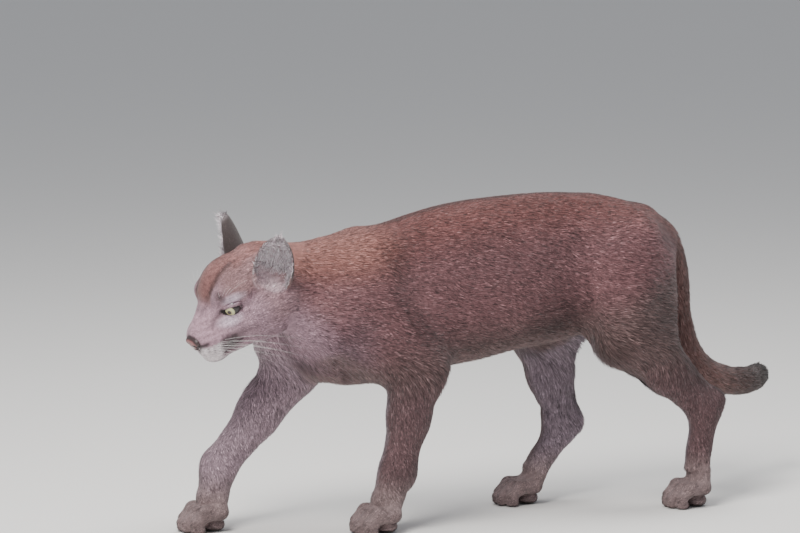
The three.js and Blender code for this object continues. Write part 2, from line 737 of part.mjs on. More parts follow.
// Nose leather with its nostrils
const noseField = blend(
  4,
  bone([12, -10, -6], 8.5, [12, 10, -6], 8.5),
  bone([14, 0, -10], 8, [12, 0, -20], 4),
  muscle([18, 0, -1], [14, 13, 6]),
);
const noseMesh = (by) =>
  solid(polygonise(grown(noseField, by), ticks(-7, 39, 6), ticks(-24, 24, 5.4), ticks(-28, 20, 6)));
let nose = noseMesh(0);
for (const side of [LEFT, RIGHT]) {
  const hole = new THREE.SphereGeometry(1, 10, 8);
  hole.scale(7, 3.4, 2.6);
  hole.rotateX(0.5 * side);
  hole.rotateZ(-0.5 * side);
  hole.translate(5, 10.5 * side, -9);
  nose = nose.subtract(solid(hole));
}
const noseWhole = noseMesh(0);
head = head.subtract(noseMesh(GAP * 1.5)).subtract(noseWhole).subtract(noseWhole.translate([GAP, 0, 0]));
solids.set("nose", largest(nose));

// Lower jaw, parted from the head along the line of the mouth
const MOUTH = [[-30, -31], [20, -32], [36, -39], [52, -40], [66, -34], [80, -30]];
const jawOutline = [...MOUTH, [96, -60], [110, -120], [-30, -120]];
const jawRoom = slab(widened(jawOutline, 0.9), -90, 90);
solids.set("lower_jaw", largest(head.intersect(slab(jawOutline, -90, 90))));
head = head.subtract(jawRoom);

// Ears: thin cups, set on the skull
const EAR = { base: [172, 60, 50], tip: [194, 90, 118], width: 36, depth: 24, wall: 4.5 };
function earSolid(side) {
  const across = 9;
  const up = 5;
  const base = new THREE.Vector3(EAR.base[0], EAR.base[1], EAR.base[2]);
  const axis = new THREE.Vector3(...EAR.tip).sub(base);
  const height = axis.length();
  axis.normalize();
  const facing = new THREE.Vector3(-0.68, 0.66, 0.15);
  facing.addScaledVector(axis, -facing.dot(axis)).normalize();
  const sideways = axis.clone().cross(facing);
  const point = (i, j, inner) => {
    const v = -0.35 + (1.35 * j) / up;
    const high = Math.max(0, v);
    const a = ((i / across) * 2 - 1) * (2.0 - 0.55 * high);
    const rounding = Math.sqrt(Math.max(0, 1 - high ** 2.3));
    const r = EAR.width * (0.24 + 0.76 * rounding) - (v < 0 ? -v * 10 : 0);
    const w = inner ? EAR.wall * (1 - 0.3 * high) : 0;
    const x = Math.sin(a) * (r - w);
    const y = -Math.cos(a) * (EAR.depth * (0.5 + 0.5 * rounding) * (1 - 0.3 * high) - w);
    const lift = height * v - (inner ? EAR.wall * 0.4 * high : 0) - 9 * (1 - Math.cos(a)) * high;
    return base.clone().addScaledVector(axis, lift).addScaledVector(sideways, x).addScaledVector(facing, y);
  };
  const positions = [];
  const index = [];
  const id = new Map();
  const vertex = (i, j, inner) => {
    const key = i + "," + j + "," + inner;
    if (!id.has(key)) {
      const p = point(i, j, inner);
      positions.push(p.x, p.y * (side === LEFT ? -1 : 1), p.z);
      id.set(key, positions.length / 3 - 1);
    }
    return id.get(key);
  };
  const quad = (a, b, c, d) => (side === RIGHT ? index.push(a, c, b, a, d, c) : index.push(a, b, c, a, c, d));
  for (let i = 0; i < across; i++)
    for (let j = 0; j < up; j++) {
      quad(vertex(i, j, 0), vertex(i + 1, j, 0), vertex(i + 1, j + 1, 0), vertex(i, j + 1, 0));
      quad(vertex(i, j, 1), vertex(i, j + 1, 1), vertex(i + 1, j + 1, 1), vertex(i + 1, j, 1));
    }
  for (let i = 0; i < across; i++) {
    quad(vertex(i, 0, 0), vertex(i, 0, 1), vertex(i + 1, 0, 1), vertex(i + 1, 0, 0));
    quad(vertex(i, up, 0), vertex(i + 1, up, 0), vertex(i + 1, up, 1), vertex(i, up, 1));
  }
  for (let j = 0; j < up; j++) {
    quad(vertex(0, j, 0), vertex(0, j + 1, 0), vertex(0, j + 1, 1), vertex(0, j, 1));
    quad(vertex(across, j, 0), vertex(across, j, 1), vertex(across, j + 1, 1), vertex(across, j + 1, 0));
  }
  const g = new THREE.BufferGeometry();
  g.setAttribute("position", new THREE.Float32BufferAttribute(positions, 3));
  g.setIndex(index);
  return solid(g);
}
const skullRoom = headMesh(GAP + 0.1);
for (const side of [LEFT, RIGHT]) {
  let ear = earSolid(side);
  if (volume(ear) < 0) throw new Error("ear turned inside out");
  const cleared = ear.subtract(skullRoom).subtract(head).subtract(head.translate([0, side * GAP, GAP]));
  solids.set(side === LEFT ? "ear_left" : "ear_right", largest(cleared));
}
solids.set("head", largest(head));

// Colours
const COAT = 0x84695c;
const LOOKS = {
  nose: [0xa06a62, 0.45],
  eye: [0xb9b27a, 0.1],
  ear: [0x5a4a44, 0.9],
  tail_tip: [0x2c2420, 0.9],
  lower_jaw: [0xcfc6bd, 0.9],
};

const HEAD_FRAME = ["head", "lower_jaw", "nose", "eye_left", "eye_right", "ear_left", "ear_right"];

function asMesh(name, s) {
  const m = s.getMesh();
  const stride = m.numProp;
  const count = m.vertProperties.length / stride;
  const positions = new Float32Array(count * 3);
  for (let i = 0; i < count; i++) for (let c = 0; c < 3; c++) positions[3 * i + c] = m.vertProperties[i * stride + c];
  const g = new THREE.BufferGeometry();
  g.setAttribute("position", new THREE.BufferAttribute(positions, 3));
  g.setIndex(new THREE.BufferAttribute(new Uint32Array(m.triVerts), 1));
  g.computeVertexNormals();
  const look = Object.keys(LOOKS).find((k) => name.startsWith(k));
  const [color, roughness] = look ? LOOKS[look] : [COAT, 0.9];
  const made = new THREE.Mesh(g, new THREE.MeshStandardMaterial({ color, roughness, metalness: 0 }));
  made.name = name;
  return made;
}

const group = new THREE.Group();
group.name = "cougar";
for (const [name, s] of solids) {
  const made = asMesh(name, s);
  if (HEAD_FRAME.includes(name)) made.applyMatrix4(HEAD_MATRIX);
  made.position.x += ORIGIN_SHIFT[0];
  made.position.y += ORIGIN_SHIFT[1];
  group.add(made);
}

export default group;
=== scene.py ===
# A walking cougar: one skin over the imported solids, a coat of small mesh tufts, and the face.
import math

import bmesh
import bpy
import numpy as np
from mathutils import Euler, Matrix, Vector
from mathutils.bvhtree import BVHTree


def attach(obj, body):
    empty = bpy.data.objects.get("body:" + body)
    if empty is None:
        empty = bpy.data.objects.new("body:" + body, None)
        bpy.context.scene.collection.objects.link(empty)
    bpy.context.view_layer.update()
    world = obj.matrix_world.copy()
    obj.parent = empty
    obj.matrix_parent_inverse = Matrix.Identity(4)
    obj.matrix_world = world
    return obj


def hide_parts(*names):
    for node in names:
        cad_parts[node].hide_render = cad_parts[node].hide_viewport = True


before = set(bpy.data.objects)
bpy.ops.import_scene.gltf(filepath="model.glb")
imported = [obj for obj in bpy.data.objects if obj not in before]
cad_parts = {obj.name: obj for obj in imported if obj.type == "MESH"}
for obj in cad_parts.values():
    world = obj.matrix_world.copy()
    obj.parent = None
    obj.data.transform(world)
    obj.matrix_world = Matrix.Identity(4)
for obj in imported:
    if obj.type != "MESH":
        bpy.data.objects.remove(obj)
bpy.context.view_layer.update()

SEED = 7

# Frame of the head, and its eyes, in metres
ORIGIN = Vector((0.07674, -0.00294, 0.0))  # the solids' shift from the modelling frame
SHIFT = np.array(ORIGIN)
HEAD_SCALE = 1.07
NOSE_TIP = Vector((-0.731, -0.020, 0.374)) + ORIGIN
HEAD_TURN = math.radians(6.3)
HEAD_DIP = math.radians(29.0)
HEAD_TILT = math.radians(9.5)
EYE = (0.088, 0.038, 0.0295)
EYE_RADIUS = 0.0155
EYE_LOOK = (-0.80, 0.60, 0.04)
EYE_OPENING = (0.0118, 0.0034, 0.0056)  # half width, upper and lower height
EYE_SLANT = math.radians(4.0)
EYE_GAZE = (-0.855, 0.52, -0.02)
LID_EDGE = 0.0010  # the lids' rim, out from the eyeball
LID_SWELL = 0.0024  # and how much thicker they are at their roots
OPENING_DEPTH = 0.0035  # how far the skin of the opening lies inside the eyeball

# Skin and coat
JOIN_SWELL = 0.0012  # makes neighbouring solids overlap before they are joined
SKIN_DEPTH = 0.0034  # from the solids' surface, which is the coat's, to the skin
FORM_DEPTH = 0.0012  # from the fine forms of the face and feet to the skin
SOLE_HEIGHT = 0.0012
COAT_FLOOR = 0.0003  # no tuft reaches lower
SKIN_VOXEL = 0.0045
TUFTS = 455000
TUFTS_IN_A_PIECE = 62000
EAR_HAIRS = 15000
ROOT_DEPTH = 0.0006
HAIR_LEAN = 0.06  # how far tips stray sideways, in lengths
TONE_SPREAD = 0.22
NORMAL_SPREAD = 0.22
DARK_HAIRS = 0.16  # shares of the tufts
PALE_HAIRS = 0.10
BLADE_CORNERS = 5
BLADE_FACES = ((0, 2, 1), (0, 3, 2), (3, 4, 2))
BLADE_PATCH = ((-1, -1), (1, -1), (1, 0.2), (-1, 0.2), (0, 1))
BLADE_UV = 0.0014
# Painted shade at the blades' roots, deep in the coat, and painted light at their tips
BLADE_SHADE_AND_LIGHT = (0.72, 0.72, 1.0, 1.0, 1.18)  # dark roots, bright tips
# Painted shade: the skin between the tufts is darker, as the coat's depth
SKIN_SHADE = 0.80  # the skin is darker than the tufts over it

# Camera and picture
CAMERA_AZIMUTH = math.radians(-25.0)
CAMERA_ELEVATION = math.radians(7.5)
CAMERA_DISTANCE = 9.0
CAMERA_AIM = Vector((-0.29608, -0.01481, 0.49114)) + ORIGIN
PIXEL = 0.00188  # metres to a pixel of the picture, at the aim
PICTURE = (800, 533)
SENSOR = 36.0

# The solids that the skin takes the place of
LEG_PARTS = ("upper_arm", "forearm", "forepaw", "thigh", "shank", "hind_foot")
FLESH = ["head", "lower_jaw", "neck", "chest", "belly", "rump"]
FLESH += [f"{part}_{side}" for part in LEG_PARTS for side in ("left", "right")]
FLESH += ["tail_root", "tail_middle", "tail_tip"]

# Ears, in the head's frame
EAR_BASE = (0.172, 0.060, 0.050)
EAR_TIP = (0.194, 0.090, 0.118)
EAR_FACING = (-0.68, 0.66, 0.15)
EAR_WIDTH = 0.036
EAR_DEPTH = 0.024
EAR_WALL = 0.0030

# Lines of the face, in the head's frame
MOUTH = [
    (0.014, 0.0, -0.030), (0.020, 0.012, -0.032), (0.036, 0.026, -0.039),
    (0.052, 0.033, -0.040), (0.066, 0.038, -0.034), (0.080, 0.042, -0.030),
]
FOREHEAD_LINE = [
    (0.044, 0.007, 0.040), (0.052, 0.014, 0.052), (0.061, 0.020, 0.064),
    (0.078, 0.022, 0.080), (0.099, 0.022, 0.092), (0.125, 0.019, 0.095),
]
NOSE_FOLD = [(0.072, 0.030, 0.028), (0.056, 0.026, 0.022), (0.044, 0.024, 0.016)]
TEAR_LINE = [(0.068, 0.034, 0.034), (0.050, 0.030, 0.024), (0.040, 0.027, 0.014)]
MUZZLE_FOLD = [(0.064, 0.050, -0.012), (0.078, 0.061, -0.008), (0.094, 0.068, -0.006)]
NOSTRIL_LINE = [(0.009, 0.018, -0.010), (0.014, 0.029, -0.007), (0.019, 0.035, -0.005)]

# Feet, in the modelling frame: ankle, knuckles, toe tips, half width and thickness
FEET = [
    ((-0.333, -0.080, 0.112), (-0.362, -0.078, 0.034), (-0.412, -0.078, 0.016), 0.046, 0.032),
    ((-0.630, 0.078, 0.120), (-0.648, 0.076, 0.036), (-0.698, 0.076, 0.016), 0.046, 0.032),
    ((0.318, -0.085, 0.188), (0.298, -0.082, 0.036), (0.246, -0.082, 0.016), 0.041, 0.026),
    ((0.092, 0.086, 0.142), (0.016, 0.082, 0.034), (-0.038, 0.082, 0.015), 0.041, 0.026),
]

# The trunk, in the modelling frame: place along it, height of the back and height of the belly
TRUNK = np.array((
    (-0.640, 0.500, 0.430), (-0.560, 0.534, 0.380), (-0.480, 0.550, 0.292),
    (-0.400, 0.562, 0.272), (-0.350, 0.568, 0.274), (-0.290, 0.583, 0.283),
    (-0.220, 0.600, 0.293), (-0.140, 0.611, 0.303), (-0.060, 0.616, 0.317),
    (0.020, 0.618, 0.326), (0.090, 0.614, 0.345), (0.150, 0.604, 0.385),
    (0.205, 0.586, 0.415), (0.245, 0.562, 0.438), (0.270, 0.535, 0.462),
)).T
TAIL_PATH = np.array((
    (0.262, 0.0, 0.512), (0.287, 0.0, 0.450), (0.296, 0.0, 0.375),
    (0.318, 0.006, 0.305), (0.362, 0.022, 0.252), (0.425, 0.048, 0.222),
    (0.492, 0.084, 0.208), (0.548, 0.128, 0.206), (0.566, 0.146, 0.208),
))

# Painted shade over the hollows by centre, radii and how much darker, and painted shade in the folds of
# the skin by path, width and how much darker
HOLLOW_SHADES = [
    ((-0.345, 0.100, 0.500), (0.050, 0.070, 0.110), 0.30),
    ((-0.300, 0.100, 0.350), (0.130, 0.080, 0.100), 0.40),
    ((0.200, 0.100, 0.380), (0.110, 0.090, 0.130), 0.35),
    ((0.010, 0.100, 0.390), (0.110, 0.080, 0.100), 0.45),
    ((-0.120, 0.100, 0.330), (0.170, 0.080, 0.070), 0.35),
    ((0.120, 0.090, 0.290), (0.090, 0.080, 0.090), 0.30),
]
FOLD_SHADES = [
    ([(-0.352, 0.105, 0.450), (-0.313, 0.105, 0.383), (-0.262, 0.100, 0.315)], 0.012, 0.65),
    ([(-0.325, 0.105, 0.440), (-0.285, 0.105, 0.378), (-0.250, 0.100, 0.335)], 0.008, 0.45),
    ([(-0.060, 0.090, 0.358), (0.004, 0.095, 0.362), (0.072, 0.095, 0.342)], 0.018, 0.65),
    ([(-0.480, 0.070, 0.360), (-0.450, 0.085, 0.400), (-0.425, 0.090, 0.455)], 0.012, 0.45),
]


def rgb(red, green, blue):
    return np.array((red, green, blue))


# Colours, in linear light
BACK = rgb(0.140, 0.048, 0.042)
FLANK = rgb(0.172, 0.082, 0.088)
# Painted light: the coat of the nape, brightened where light falls on it from above
LIT_NAPE = rgb(0.270, 0.118, 0.100)
BELLY = rgb(0.130, 0.080, 0.078)
CHEST = rgb(0.170, 0.108, 0.135)
# The legs' coat: partly its own darker colour, partly painted shade below the trunk
LIMB = rgb(0.115, 0.065, 0.070)
INNER_LIMB = rgb(0.235, 0.185, 0.225)
FORELEG_FRONT = rgb(0.330, 0.235, 0.275)
PAW = rgb(0.235, 0.170, 0.170)
PAD = rgb(0.030, 0.020, 0.018)
TAIL = rgb(0.150, 0.080, 0.074)
TAIL_TIP = rgb(0.018, 0.012, 0.011)
FOREHEAD = rgb(0.225, 0.104, 0.098)
MUZZLE = rgb(0.460, 0.290, 0.350)
CHEEK = rgb(0.350, 0.225, 0.270)
TEMPLE = rgb(0.260, 0.150, 0.155)
EAR_INNER = rgb(0.700, 0.540, 0.590)
LIP = rgb(0.740, 0.660, 0.690)
PALE = rgb(0.640, 0.500, 0.600)
DARK = rgb(0.022, 0.015, 0.016)
DORSAL = rgb(0.060, 0.026, 0.024)
IRIS = rgb(0.50, 0.50, 0.27)
IRIS_MIDDLE = rgb(0.30, 0.20, 0.07)
NOSE_PINK = rgb(0.270, 0.115, 0.115)
EAR_BACK = rgb(0.045, 0.034, 0.034)
EAR_LINING = rgb(0.56, 0.40, 0.44)
EAR_RIM = rgb(0.60, 0.52, 0.56)
EAR_ROOT = rgb(0.30, 0.17, 0.16)
EAR_BACK_HAIR = rgb(0.055, 0.040, 0.040)
EAR_INNER_HAIR = rgb(0.74, 0.66, 0.71)
EAR_RIM_HAIR = rgb(0.66, 0.58, 0.62)
EAR_ROOT_HAIR = rgb(0.28, 0.165, 0.16)

# The head's frame: x back from just before the nose, y to the side, z up
HEAD = (
    Matrix.Translation(NOSE_TIP)
    @ Matrix.Rotation(HEAD_TURN, 4, "Z")
    @ Matrix.Rotation(-HEAD_DIP, 4, "Y")
    @ Matrix.Rotation(HEAD_TILT, 4, "X")
    @ Matrix.Scale(HEAD_SCALE, 4)
)
HEAD_INVERSE = HEAD.inverted()
HEAD_TURNING = HEAD.to_3x3().normalized()


def moved(points, matrix):
    m = np.array(matrix)
    return points @ m[:3, :3].T + m[:3, 3]


def head_points(points):
    """Places in the head's frame."""
    return moved(points, HEAD_INVERSE)


def world_points(points):
    return moved(points, HEAD)


def to_side(vector, side):
    """A vector of the right side, or its mirror image where side is -1."""
    return Vector((vector[0], vector[1] * side, vector[2]))


def smoothstep(low, high, v):
    t = np.clip((v - low) / (high - low), 0.0, 1.0)
    return t * t * (3.0 - 2.0 * t)


def ridge(distance, width):
    """A smooth bump: 1 at no distance, gone at about twice the width."""
    return np.exp(-((distance / width) ** 2))


def reach(points, centre, radii):
    """Distance from a centre, where 1 is the ellipsoid's edge."""
    return np.linalg.norm((points - np.array(centre)) / np.array(radii), axis=1)


def near(points, centre, radii):
    """1 at the centre, falling smoothly to 0 at the ellipsoid's edge."""
    return 1.0 - smoothstep(0.0, 1.0, reach(points, centre, radii))


def mix(a, b, t):
    """Blends rows of values."""
    return a * (1.0 - t[:, None]) + b * t[:, None]


def blend(a, b, t):
    """Blends single values."""
    return a * (1.0 - t) + b * t


def unit(rows, least=1e-9):
    return rows / np.maximum(np.linalg.norm(rows, axis=1), least)[:, None]


def mirrored(points):
    q = points.copy()
    q[:, 1] = np.abs(q[:, 1])
    return q


def line_distance(points, path):
    """Distance to a chain of points, and how far along it (0 to 1)."""
    best = np.full(len(points), 1e9)
    along = np.zeros(len(points))
    path = [np.array(p, float) for p in path]
    for i in range(len(path) - 1):
        a, b = path[i], path[i + 1]
        ab = b - a
        t = np.clip(((points - a) @ ab) / (ab @ ab), 0.0, 1.0)
        d = np.linalg.norm(points - a - t[:, None] * ab, axis=1)
        closer = d < best
        best = np.where(closer, d, best)
        along = np.where(closer, (i + t) / (len(path) - 1), along)
    return best, along


def wave_noise(points, scale, seed):
    """A smooth pseudo-random pattern from a few sine waves, about -1 to 1."""
    rng = np.random.default_rng(seed)
    total = np.zeros(len(points))
    for _ in range(9):
        k = rng.normal(size=3)
        k = k / np.linalg.norm(k) * (2.0 * math.pi / scale) * rng.uniform(0.6, 1.6)
        total += np.sin(points @ k + rng.uniform(0.0, 2.0 * math.pi))
    return total / 3.0


def head_share(h, begin, end):
    """1 on the head, 0 behind the neck and on what lies below it."""
    return smoothstep(begin, end, h[:, 0]) * smoothstep(-0.135, -0.105, h[:, 2])


def only(obj):
    bpy.ops.object.select_all(action="DESELECT")
    obj.select_set(True)
    bpy.context.view_layer.objects.active = obj


def apply_modifier(obj, kind, **settings):
    only(obj)
    m = obj.modifiers.new(kind.lower(), kind)
    for key, value in settings.items():
        setattr(m, key, value)
    bpy.ops.object.modifier_apply(modifier=m.name)


def add_object(name, data):
    obj = bpy.data.objects.new(name, data)
    bpy.context.collection.objects.link(obj)
    return obj


def coordinates(mesh):
    out = np.empty(len(mesh.vertices) * 3)
    mesh.vertices.foreach_get("co", out)
    return out.reshape(-1, 3)


def set_coordinates(mesh, points):
    mesh.vertices.foreach_set("co", points.ravel())
    mesh.update()


def normals_of(mesh):
    out = np.empty(len(mesh.vertices) * 3, dtype=np.float32)
    mesh.vertex_normals.foreach_get("vector", out)
    return out.reshape(-1, 3).astype(float)


def shade_smooth(obj):
    only(obj)
    bpy.ops.object.shade_smooth()


# The same forms as the solids, as smooth distance fields in metres, to give the skin its fine shape
def bone(a, ra, b, rb):
    a, b = np.array(a, float), np.array(b, float)
    axis = b - a
    l2 = axis @ axis

    def field(p):
        t = np.clip(((p - a) @ axis) / l2, 0.0, 1.0)
        return np.linalg.norm(p - a - t[:, None] * axis, axis=1) - (ra + (rb - ra) * t)
    return field


def muscle(centre, radii, turn=(0.0, 0.0, 0.0)):
    rotation = np.eye(3)
    if any(turn):
        rotation = np.array(Euler([math.radians(v) for v in turn], "ZYX").to_matrix())
    centre, radii = np.array(centre, float), np.array(radii, float)

    def field(p):
        q = (p - centre) @ rotation
        k0 = np.linalg.norm(q / radii, axis=1)
        k1 = np.linalg.norm(q / radii ** 2, axis=1)
        return k0 * (k0 - 1.0) / np.maximum(k1, 1e-9)
    return field


def join_fields(fillet, fields):
    def field(p):
        d = fields[0](p)
        for other in fields[1:]:
            e = other(p)
            h = np.maximum(fillet - np.abs(d - e), 0.0) / fillet
            d = np.minimum(d, e) - h * h * fillet * 0.25
        return d
    return field


def mm(*values):
    return tuple(v * 0.001 for v in values)


def toe_fields(ankle, knuckle, tip, half_width):
    fields = []
    toe = half_width * 0.34
    for i in range(4):
        across = (i - 1.5) / 1.5
        reach = 1.0 - 0.24 * across * across
        spread = np.array((0.0, across * (half_width - toe), 0.0))
        start = ankle + (knuckle - ankle) * 0.35 + spread * 0.45
        joint = knuckle + np.array(((1.0 - reach) * 0.040, 0.0, 0.003)) + spread * 0.86
        bend = knuckle + (tip - knuckle) * 0.55 * reach + spread + np.array((0.0, 0.0, 0.010))
        end = knuckle + (tip - knuckle) * 1.02 * reach + spread + np.array((0.0, 0.0, 0.001))
        fields.append(bone(start, toe, joint, toe * 1.08))
        fields.append(bone(joint, toe * 1.08, bend, toe * 1.02))
        fields.append(bone(bend, toe * 1.02, end, toe * 0.86))
        fields.append(muscle((end[0] + 0.003, end[1], 0.008), (toe * 0.95, toe * 0.8, 0.011)))
    heel = knuckle + (tip - knuckle) * 0.05
    pad = (half_width * 0.55, half_width * 0.62, 0.016)
    fields.append(muscle((heel[0] + 0.006, heel[1], 0.012), pad))
    return fields


def foot_field(ankle, knuckle, tip, half_width, thickness):
    ankle, knuckle, tip = (np.array(v) for v in (ankle, knuckle, tip))
    shin = bone(ankle, thickness, ankle + (knuckle - ankle) * 0.7, thickness)
    return join_fields(0.0055, [shin] + toe_fields(ankle, knuckle, tip, half_width))


def head_field():
    half = join_fields(0.013, [
        muscle(mm(160, 0, 26), mm(80, 60, 64)),
        muscle(mm(116, 0, 38), mm(63, 52, 62)),
        bone(mm(104, 0, 34), 0.036, mm(34, 0, 4), 0.019),
        bone(mm(88, 22, 20), 0.020, mm(39, 12, 0), 0.017),
        bone(mm(61, 0, 16), 0.028, mm(27, 0, -1), 0.017),
        muscle(mm(38, 18, -16), mm(28, 26, 28), (0.0, 0.0, -12.0)),
        bone(mm(86, 43, -1), 0.020, mm(158, 63, 2), 0.027),
        bone(mm(78, 25, 54), 0.016, mm(114, 42, 48), 0.015),
        bone(mm(66, 34, -8), 0.018, mm(100, 44, -8), 0.022),
        muscle(mm(142, 46, -14), mm(50, 36, 44)),
        bone(mm(50, 8, -42), 0.018, mm(150, 44, -32), 0.028),
        muscle(mm(38, 0, -45), mm(21, 24, 18)),
        muscle(mm(186, 0, -14), mm(60, 56, 54)),
        muscle(mm(178, 50, 28), mm(22, 20, 28)),
    ])

    def field(p):
        return half(mirrored(p))
    return field


def settle(points, field, depth, share, steps=3):
    """Moves points onto a field's surface, as far as their share says."""
    p = points.copy()
    some = share > 0.001
    q = p[some]
    s = share[some]
    for _ in range(steps):
        d = field(q) + depth
        slope = np.stack([(field(q + e) - field(q - e)) / 0.001 for e in np.eye(3) * 0.0005], 1)
        step = slope * (d / np.maximum(np.sum(slope * slope, axis=1), 0.3))[:, None]
        q = q - step * s[:, None]
    p[some] = q
    return p


# Skin: copies of the flesh solids, joined, remeshed as one surface and smoothed
def make_skin():
    copies = []
    for name in FLESH:
        source = bpy.data.objects[name]
        copy = add_object("skin_part_" + name, source.data.copy())
        copy.matrix_world = source.matrix_world
        copy.data.materials.clear()
        apply_modifier(copy, "DISPLACE", strength=JOIN_SWELL, mid_level=0.0)
        copies.append(copy)
    bpy.ops.object.select_all(action="DESELECT")
    for copy in copies:
        copy.select_set(True)
    bpy.context.view_layer.objects.active = copies[0]
    bpy.ops.object.join()
    skin = bpy.context.view_layer.objects.active
    skin.name = "skin"
    skin.data.name = "skin"
    apply_modifier(skin, "REMESH", mode="VOXEL", voxel_size=SKIN_VOXEL, use_smooth_shade=True)
    apply_modifier(skin, "SMOOTH", factor=0.5, iterations=14)
    points = coordinates(skin.data)
    depth = np.full(len(points), SKIN_DEPTH)
    depth = depth * (1.0 - 0.75 * head_share(head_points(points), 0.24, 0.16))
    height = points[:, 2]
    depth = np.where(height < 0.05, depth * smoothstep(0.0, 0.05, height) * 0.6, depth)
    points -= normals_of(skin.data) * depth[:, None]
    points[:, 2] = np.maximum(points[:, 2], SOLE_HEIGHT)
    set_coordinates(skin.data, points)
    return skin


skin = make_skin()


# The face and feet: finer mesh there, set on the fine form, then folds, lips and lids
def refine(obj, chosen):
    """Divides the faces whose middles are chosen."""
    only(obj)
    bpy.ops.object.mode_set(mode="EDIT")
    bpy.ops.mesh.select_all(action="DESELECT")
    bm = bmesh.from_edit_mesh(obj.data)
    wanted = chosen(np.array([f.calc_center_median()[:] for f in bm.faces]))
    for f, pick in zip(bm.faces, wanted):
        f.select = bool(pick)
    bm.select_flush_mode()
    bmesh.update_edit_mesh(obj.data)
    bpy.ops.mesh.subdivide(number_cuts=1, smoothness=0.0)
    bpy.ops.object.mode_set(mode="OBJECT")


def in_face(points):
    h = head_points(points)
    return (h[:, 0] < 0.150) & (np.abs(h[:, 1]) < 0.080) & (h[:, 2] > -0.085)


def ear_frame():
    """Base, axis, facing and sideways directions of an ear, and its height."""
    base = Vector(EAR_BASE)
    axis = Vector(EAR_TIP) - base
    height = axis.length
    axis.normalize()
    facing = Vector(EAR_FACING)
    facing = (facing - axis * facing.dot(axis)).normalized()
    return base, axis, facing, axis.cross(facing), height


def ear_bowl(q):
    """How far points lie in front of the ear's bowl, and 1 at its wall."""
    base, axis, facing, sideways, height = ear_frame()
    d = q - np.array(base + axis * (height * 0.16))
    x, y, v = d @ np.array(sideways), d @ np.array(facing), d @ np.array(axis)
    return y, np.sqrt((x / (EAR_WIDTH * 0.90)) ** 2 + (v / (height * 0.46)) ** 2)


def in_ears(points):
    y, r = ear_bowl(mirrored(head_points(points)))
    return (r < 1.25) & (np.abs(y) < 0.040)


def hollow_ears(obj):
    """Sinks the skin inside each ear behind the cup's wall."""
    h = head_points(coordinates(obj.data))
    side = np.where(h[:, 1] < 0.0, -1.0, 1.0)
    q = mirrored(h)
    y, r = ear_bowl(q)
    floor = -EAR_DEPTH * 1.15 * np.sqrt(np.maximum(1.0 - r ** 2, 0.0)) + 0.004
    sunk = np.where((r < 1.0) & (y > floor), floor - y, 0.0)
    q = q + np.array(ear_frame()[2]) * sunk[:, None]
    q[:, 1] *= side
    set_coordinates(obj.data, world_points(q))


def round_the_eyes(radius):
    return lambda points: np.linalg.norm(mirrored(head_points(points)) - np.array(EYE), axis=1) < radius


def round_the_mouth(points):
    return line_distance(mirrored(head_points(points)), MOUTH)[0] < 0.008


def foot_share(p, foot, high):
    """1 on a foot, 0 above it and away from it."""
    distance = line_distance(p, foot[:3])[0]
    return smoothstep(high, high - 0.025, p[:, 2]) * smoothstep(0.085, 0.075, distance)


def in_feet(points):
    p = points - SHIFT
    return sum(foot_share(p, foot, 0.095) for foot in FEET) > 0.5


def settle_forms(obj):
    """Sets the head and feet on their fine forms."""
    h = head_points(coordinates(obj.data))
    h = settle(h, head_field(), FORM_DEPTH, head_share(h, 0.175, 0.120))
    p = world_points(h) - SHIFT
    for foot in FEET:
        p = settle(p, foot_field(*foot), FORM_DEPTH, foot_share(p, foot, 0.085))
    p[:, 2] = np.maximum(p[:, 2], SOLE_HEIGHT)
    set_coordinates(obj.data, p + SHIFT)


refine(skin, in_face)
refine(skin, in_feet)
refine(skin, in_ears)
settle_forms(skin)
refine(skin, round_the_eyes(0.030))
refine(skin, round_the_eyes(0.024))
refine(skin, round_the_mouth)
settle_forms(skin)


def press_face(obj):
    """Presses the mouth and the creases into the face, and raises the upper lip."""
    points = coordinates(obj.data)
    h = head_points(points)
    q = mirrored(h)
    move = np.zeros(len(points))
    mouth = line_distance(q, MOUTH)[0]
    front = h[:, 0] < 0.09
    move -= 0.0040 * ridge(mouth, 0.0026) * front
    move += 0.0016 * ridge(mouth - 0.006, 0.005) * front
    # Groove below the nose
    below_nose = smoothstep(-0.032, -0.024, h[:, 2]) * smoothstep(-0.010, -0.016, h[:, 2])
    move -= 0.0028 * ridge(q[:, 1], 0.0018) * (below_nose * (h[:, 0] < 0.04))
    for path, width in ((NOSE_FOLD, 0.0035), (FOREHEAD_LINE, 0.0045)):
        move -= 0.0016 * ridge(line_distance(q, path)[0], width)
    # Two folds under the eye
    look = np.array(EYE_LOOK) / np.linalg.norm(EYE_LOOK)
    d = q - np.array(EYE)
    along = d @ look
    across = np.linalg.norm(d - along[:, None] * look, axis=1)
    below_eye = smoothstep(0.0, -0.012, d[:, 2]) * (np.abs(along) < 0.02)
    for radius, press in ((0.0245, 0.0010), (0.031, 0.0007)):
        move -= press * ridge(across - radius, 0.0022) * below_eye
    set_coordinates(obj.data, points + normals_of(obj.data) * move[:, None])


press_face(skin)


def eye_centre(side):
    return np.array((EYE[0], EYE[1] * side, EYE[2]))


def eye_coordinates(h, side):
    """Towards the outer corner, up, and out of the eye, with the distance in openings."""
    look = to_side(EYE_LOOK, side).normalized()
    across = Vector((0, 0, 1)).cross(look).normalized()
    up = look.cross(across)
    outer = across * -side
    a = np.array(outer * math.cos(EYE_SLANT) - up * math.sin(EYE_SLANT))
    b = np.array(up * math.cos(EYE_SLANT) + outer * math.sin(EYE_SLANT))
    d = h - eye_centre(side)
    u, v, w = d @ a, d @ b, d @ np.array(look)
    wide, high, low = EYE_OPENING
    tall = np.where(v > 0.0, high, low)
    return u, v, w, np.sqrt((u / wide) ** 2 + (v / tall) ** 2), d, a, b


def eye_reach(h):
    """The distance from the nearer eye, in openings, and large behind the eyes."""
    best = np.full(len(h), 9.0)
    for side in (-1.0, 1.0):
        w, r = eye_coordinates(h, side)[2:4]
        best = np.minimum(best, np.where(w > 0.002, r, 9.0))
    return best


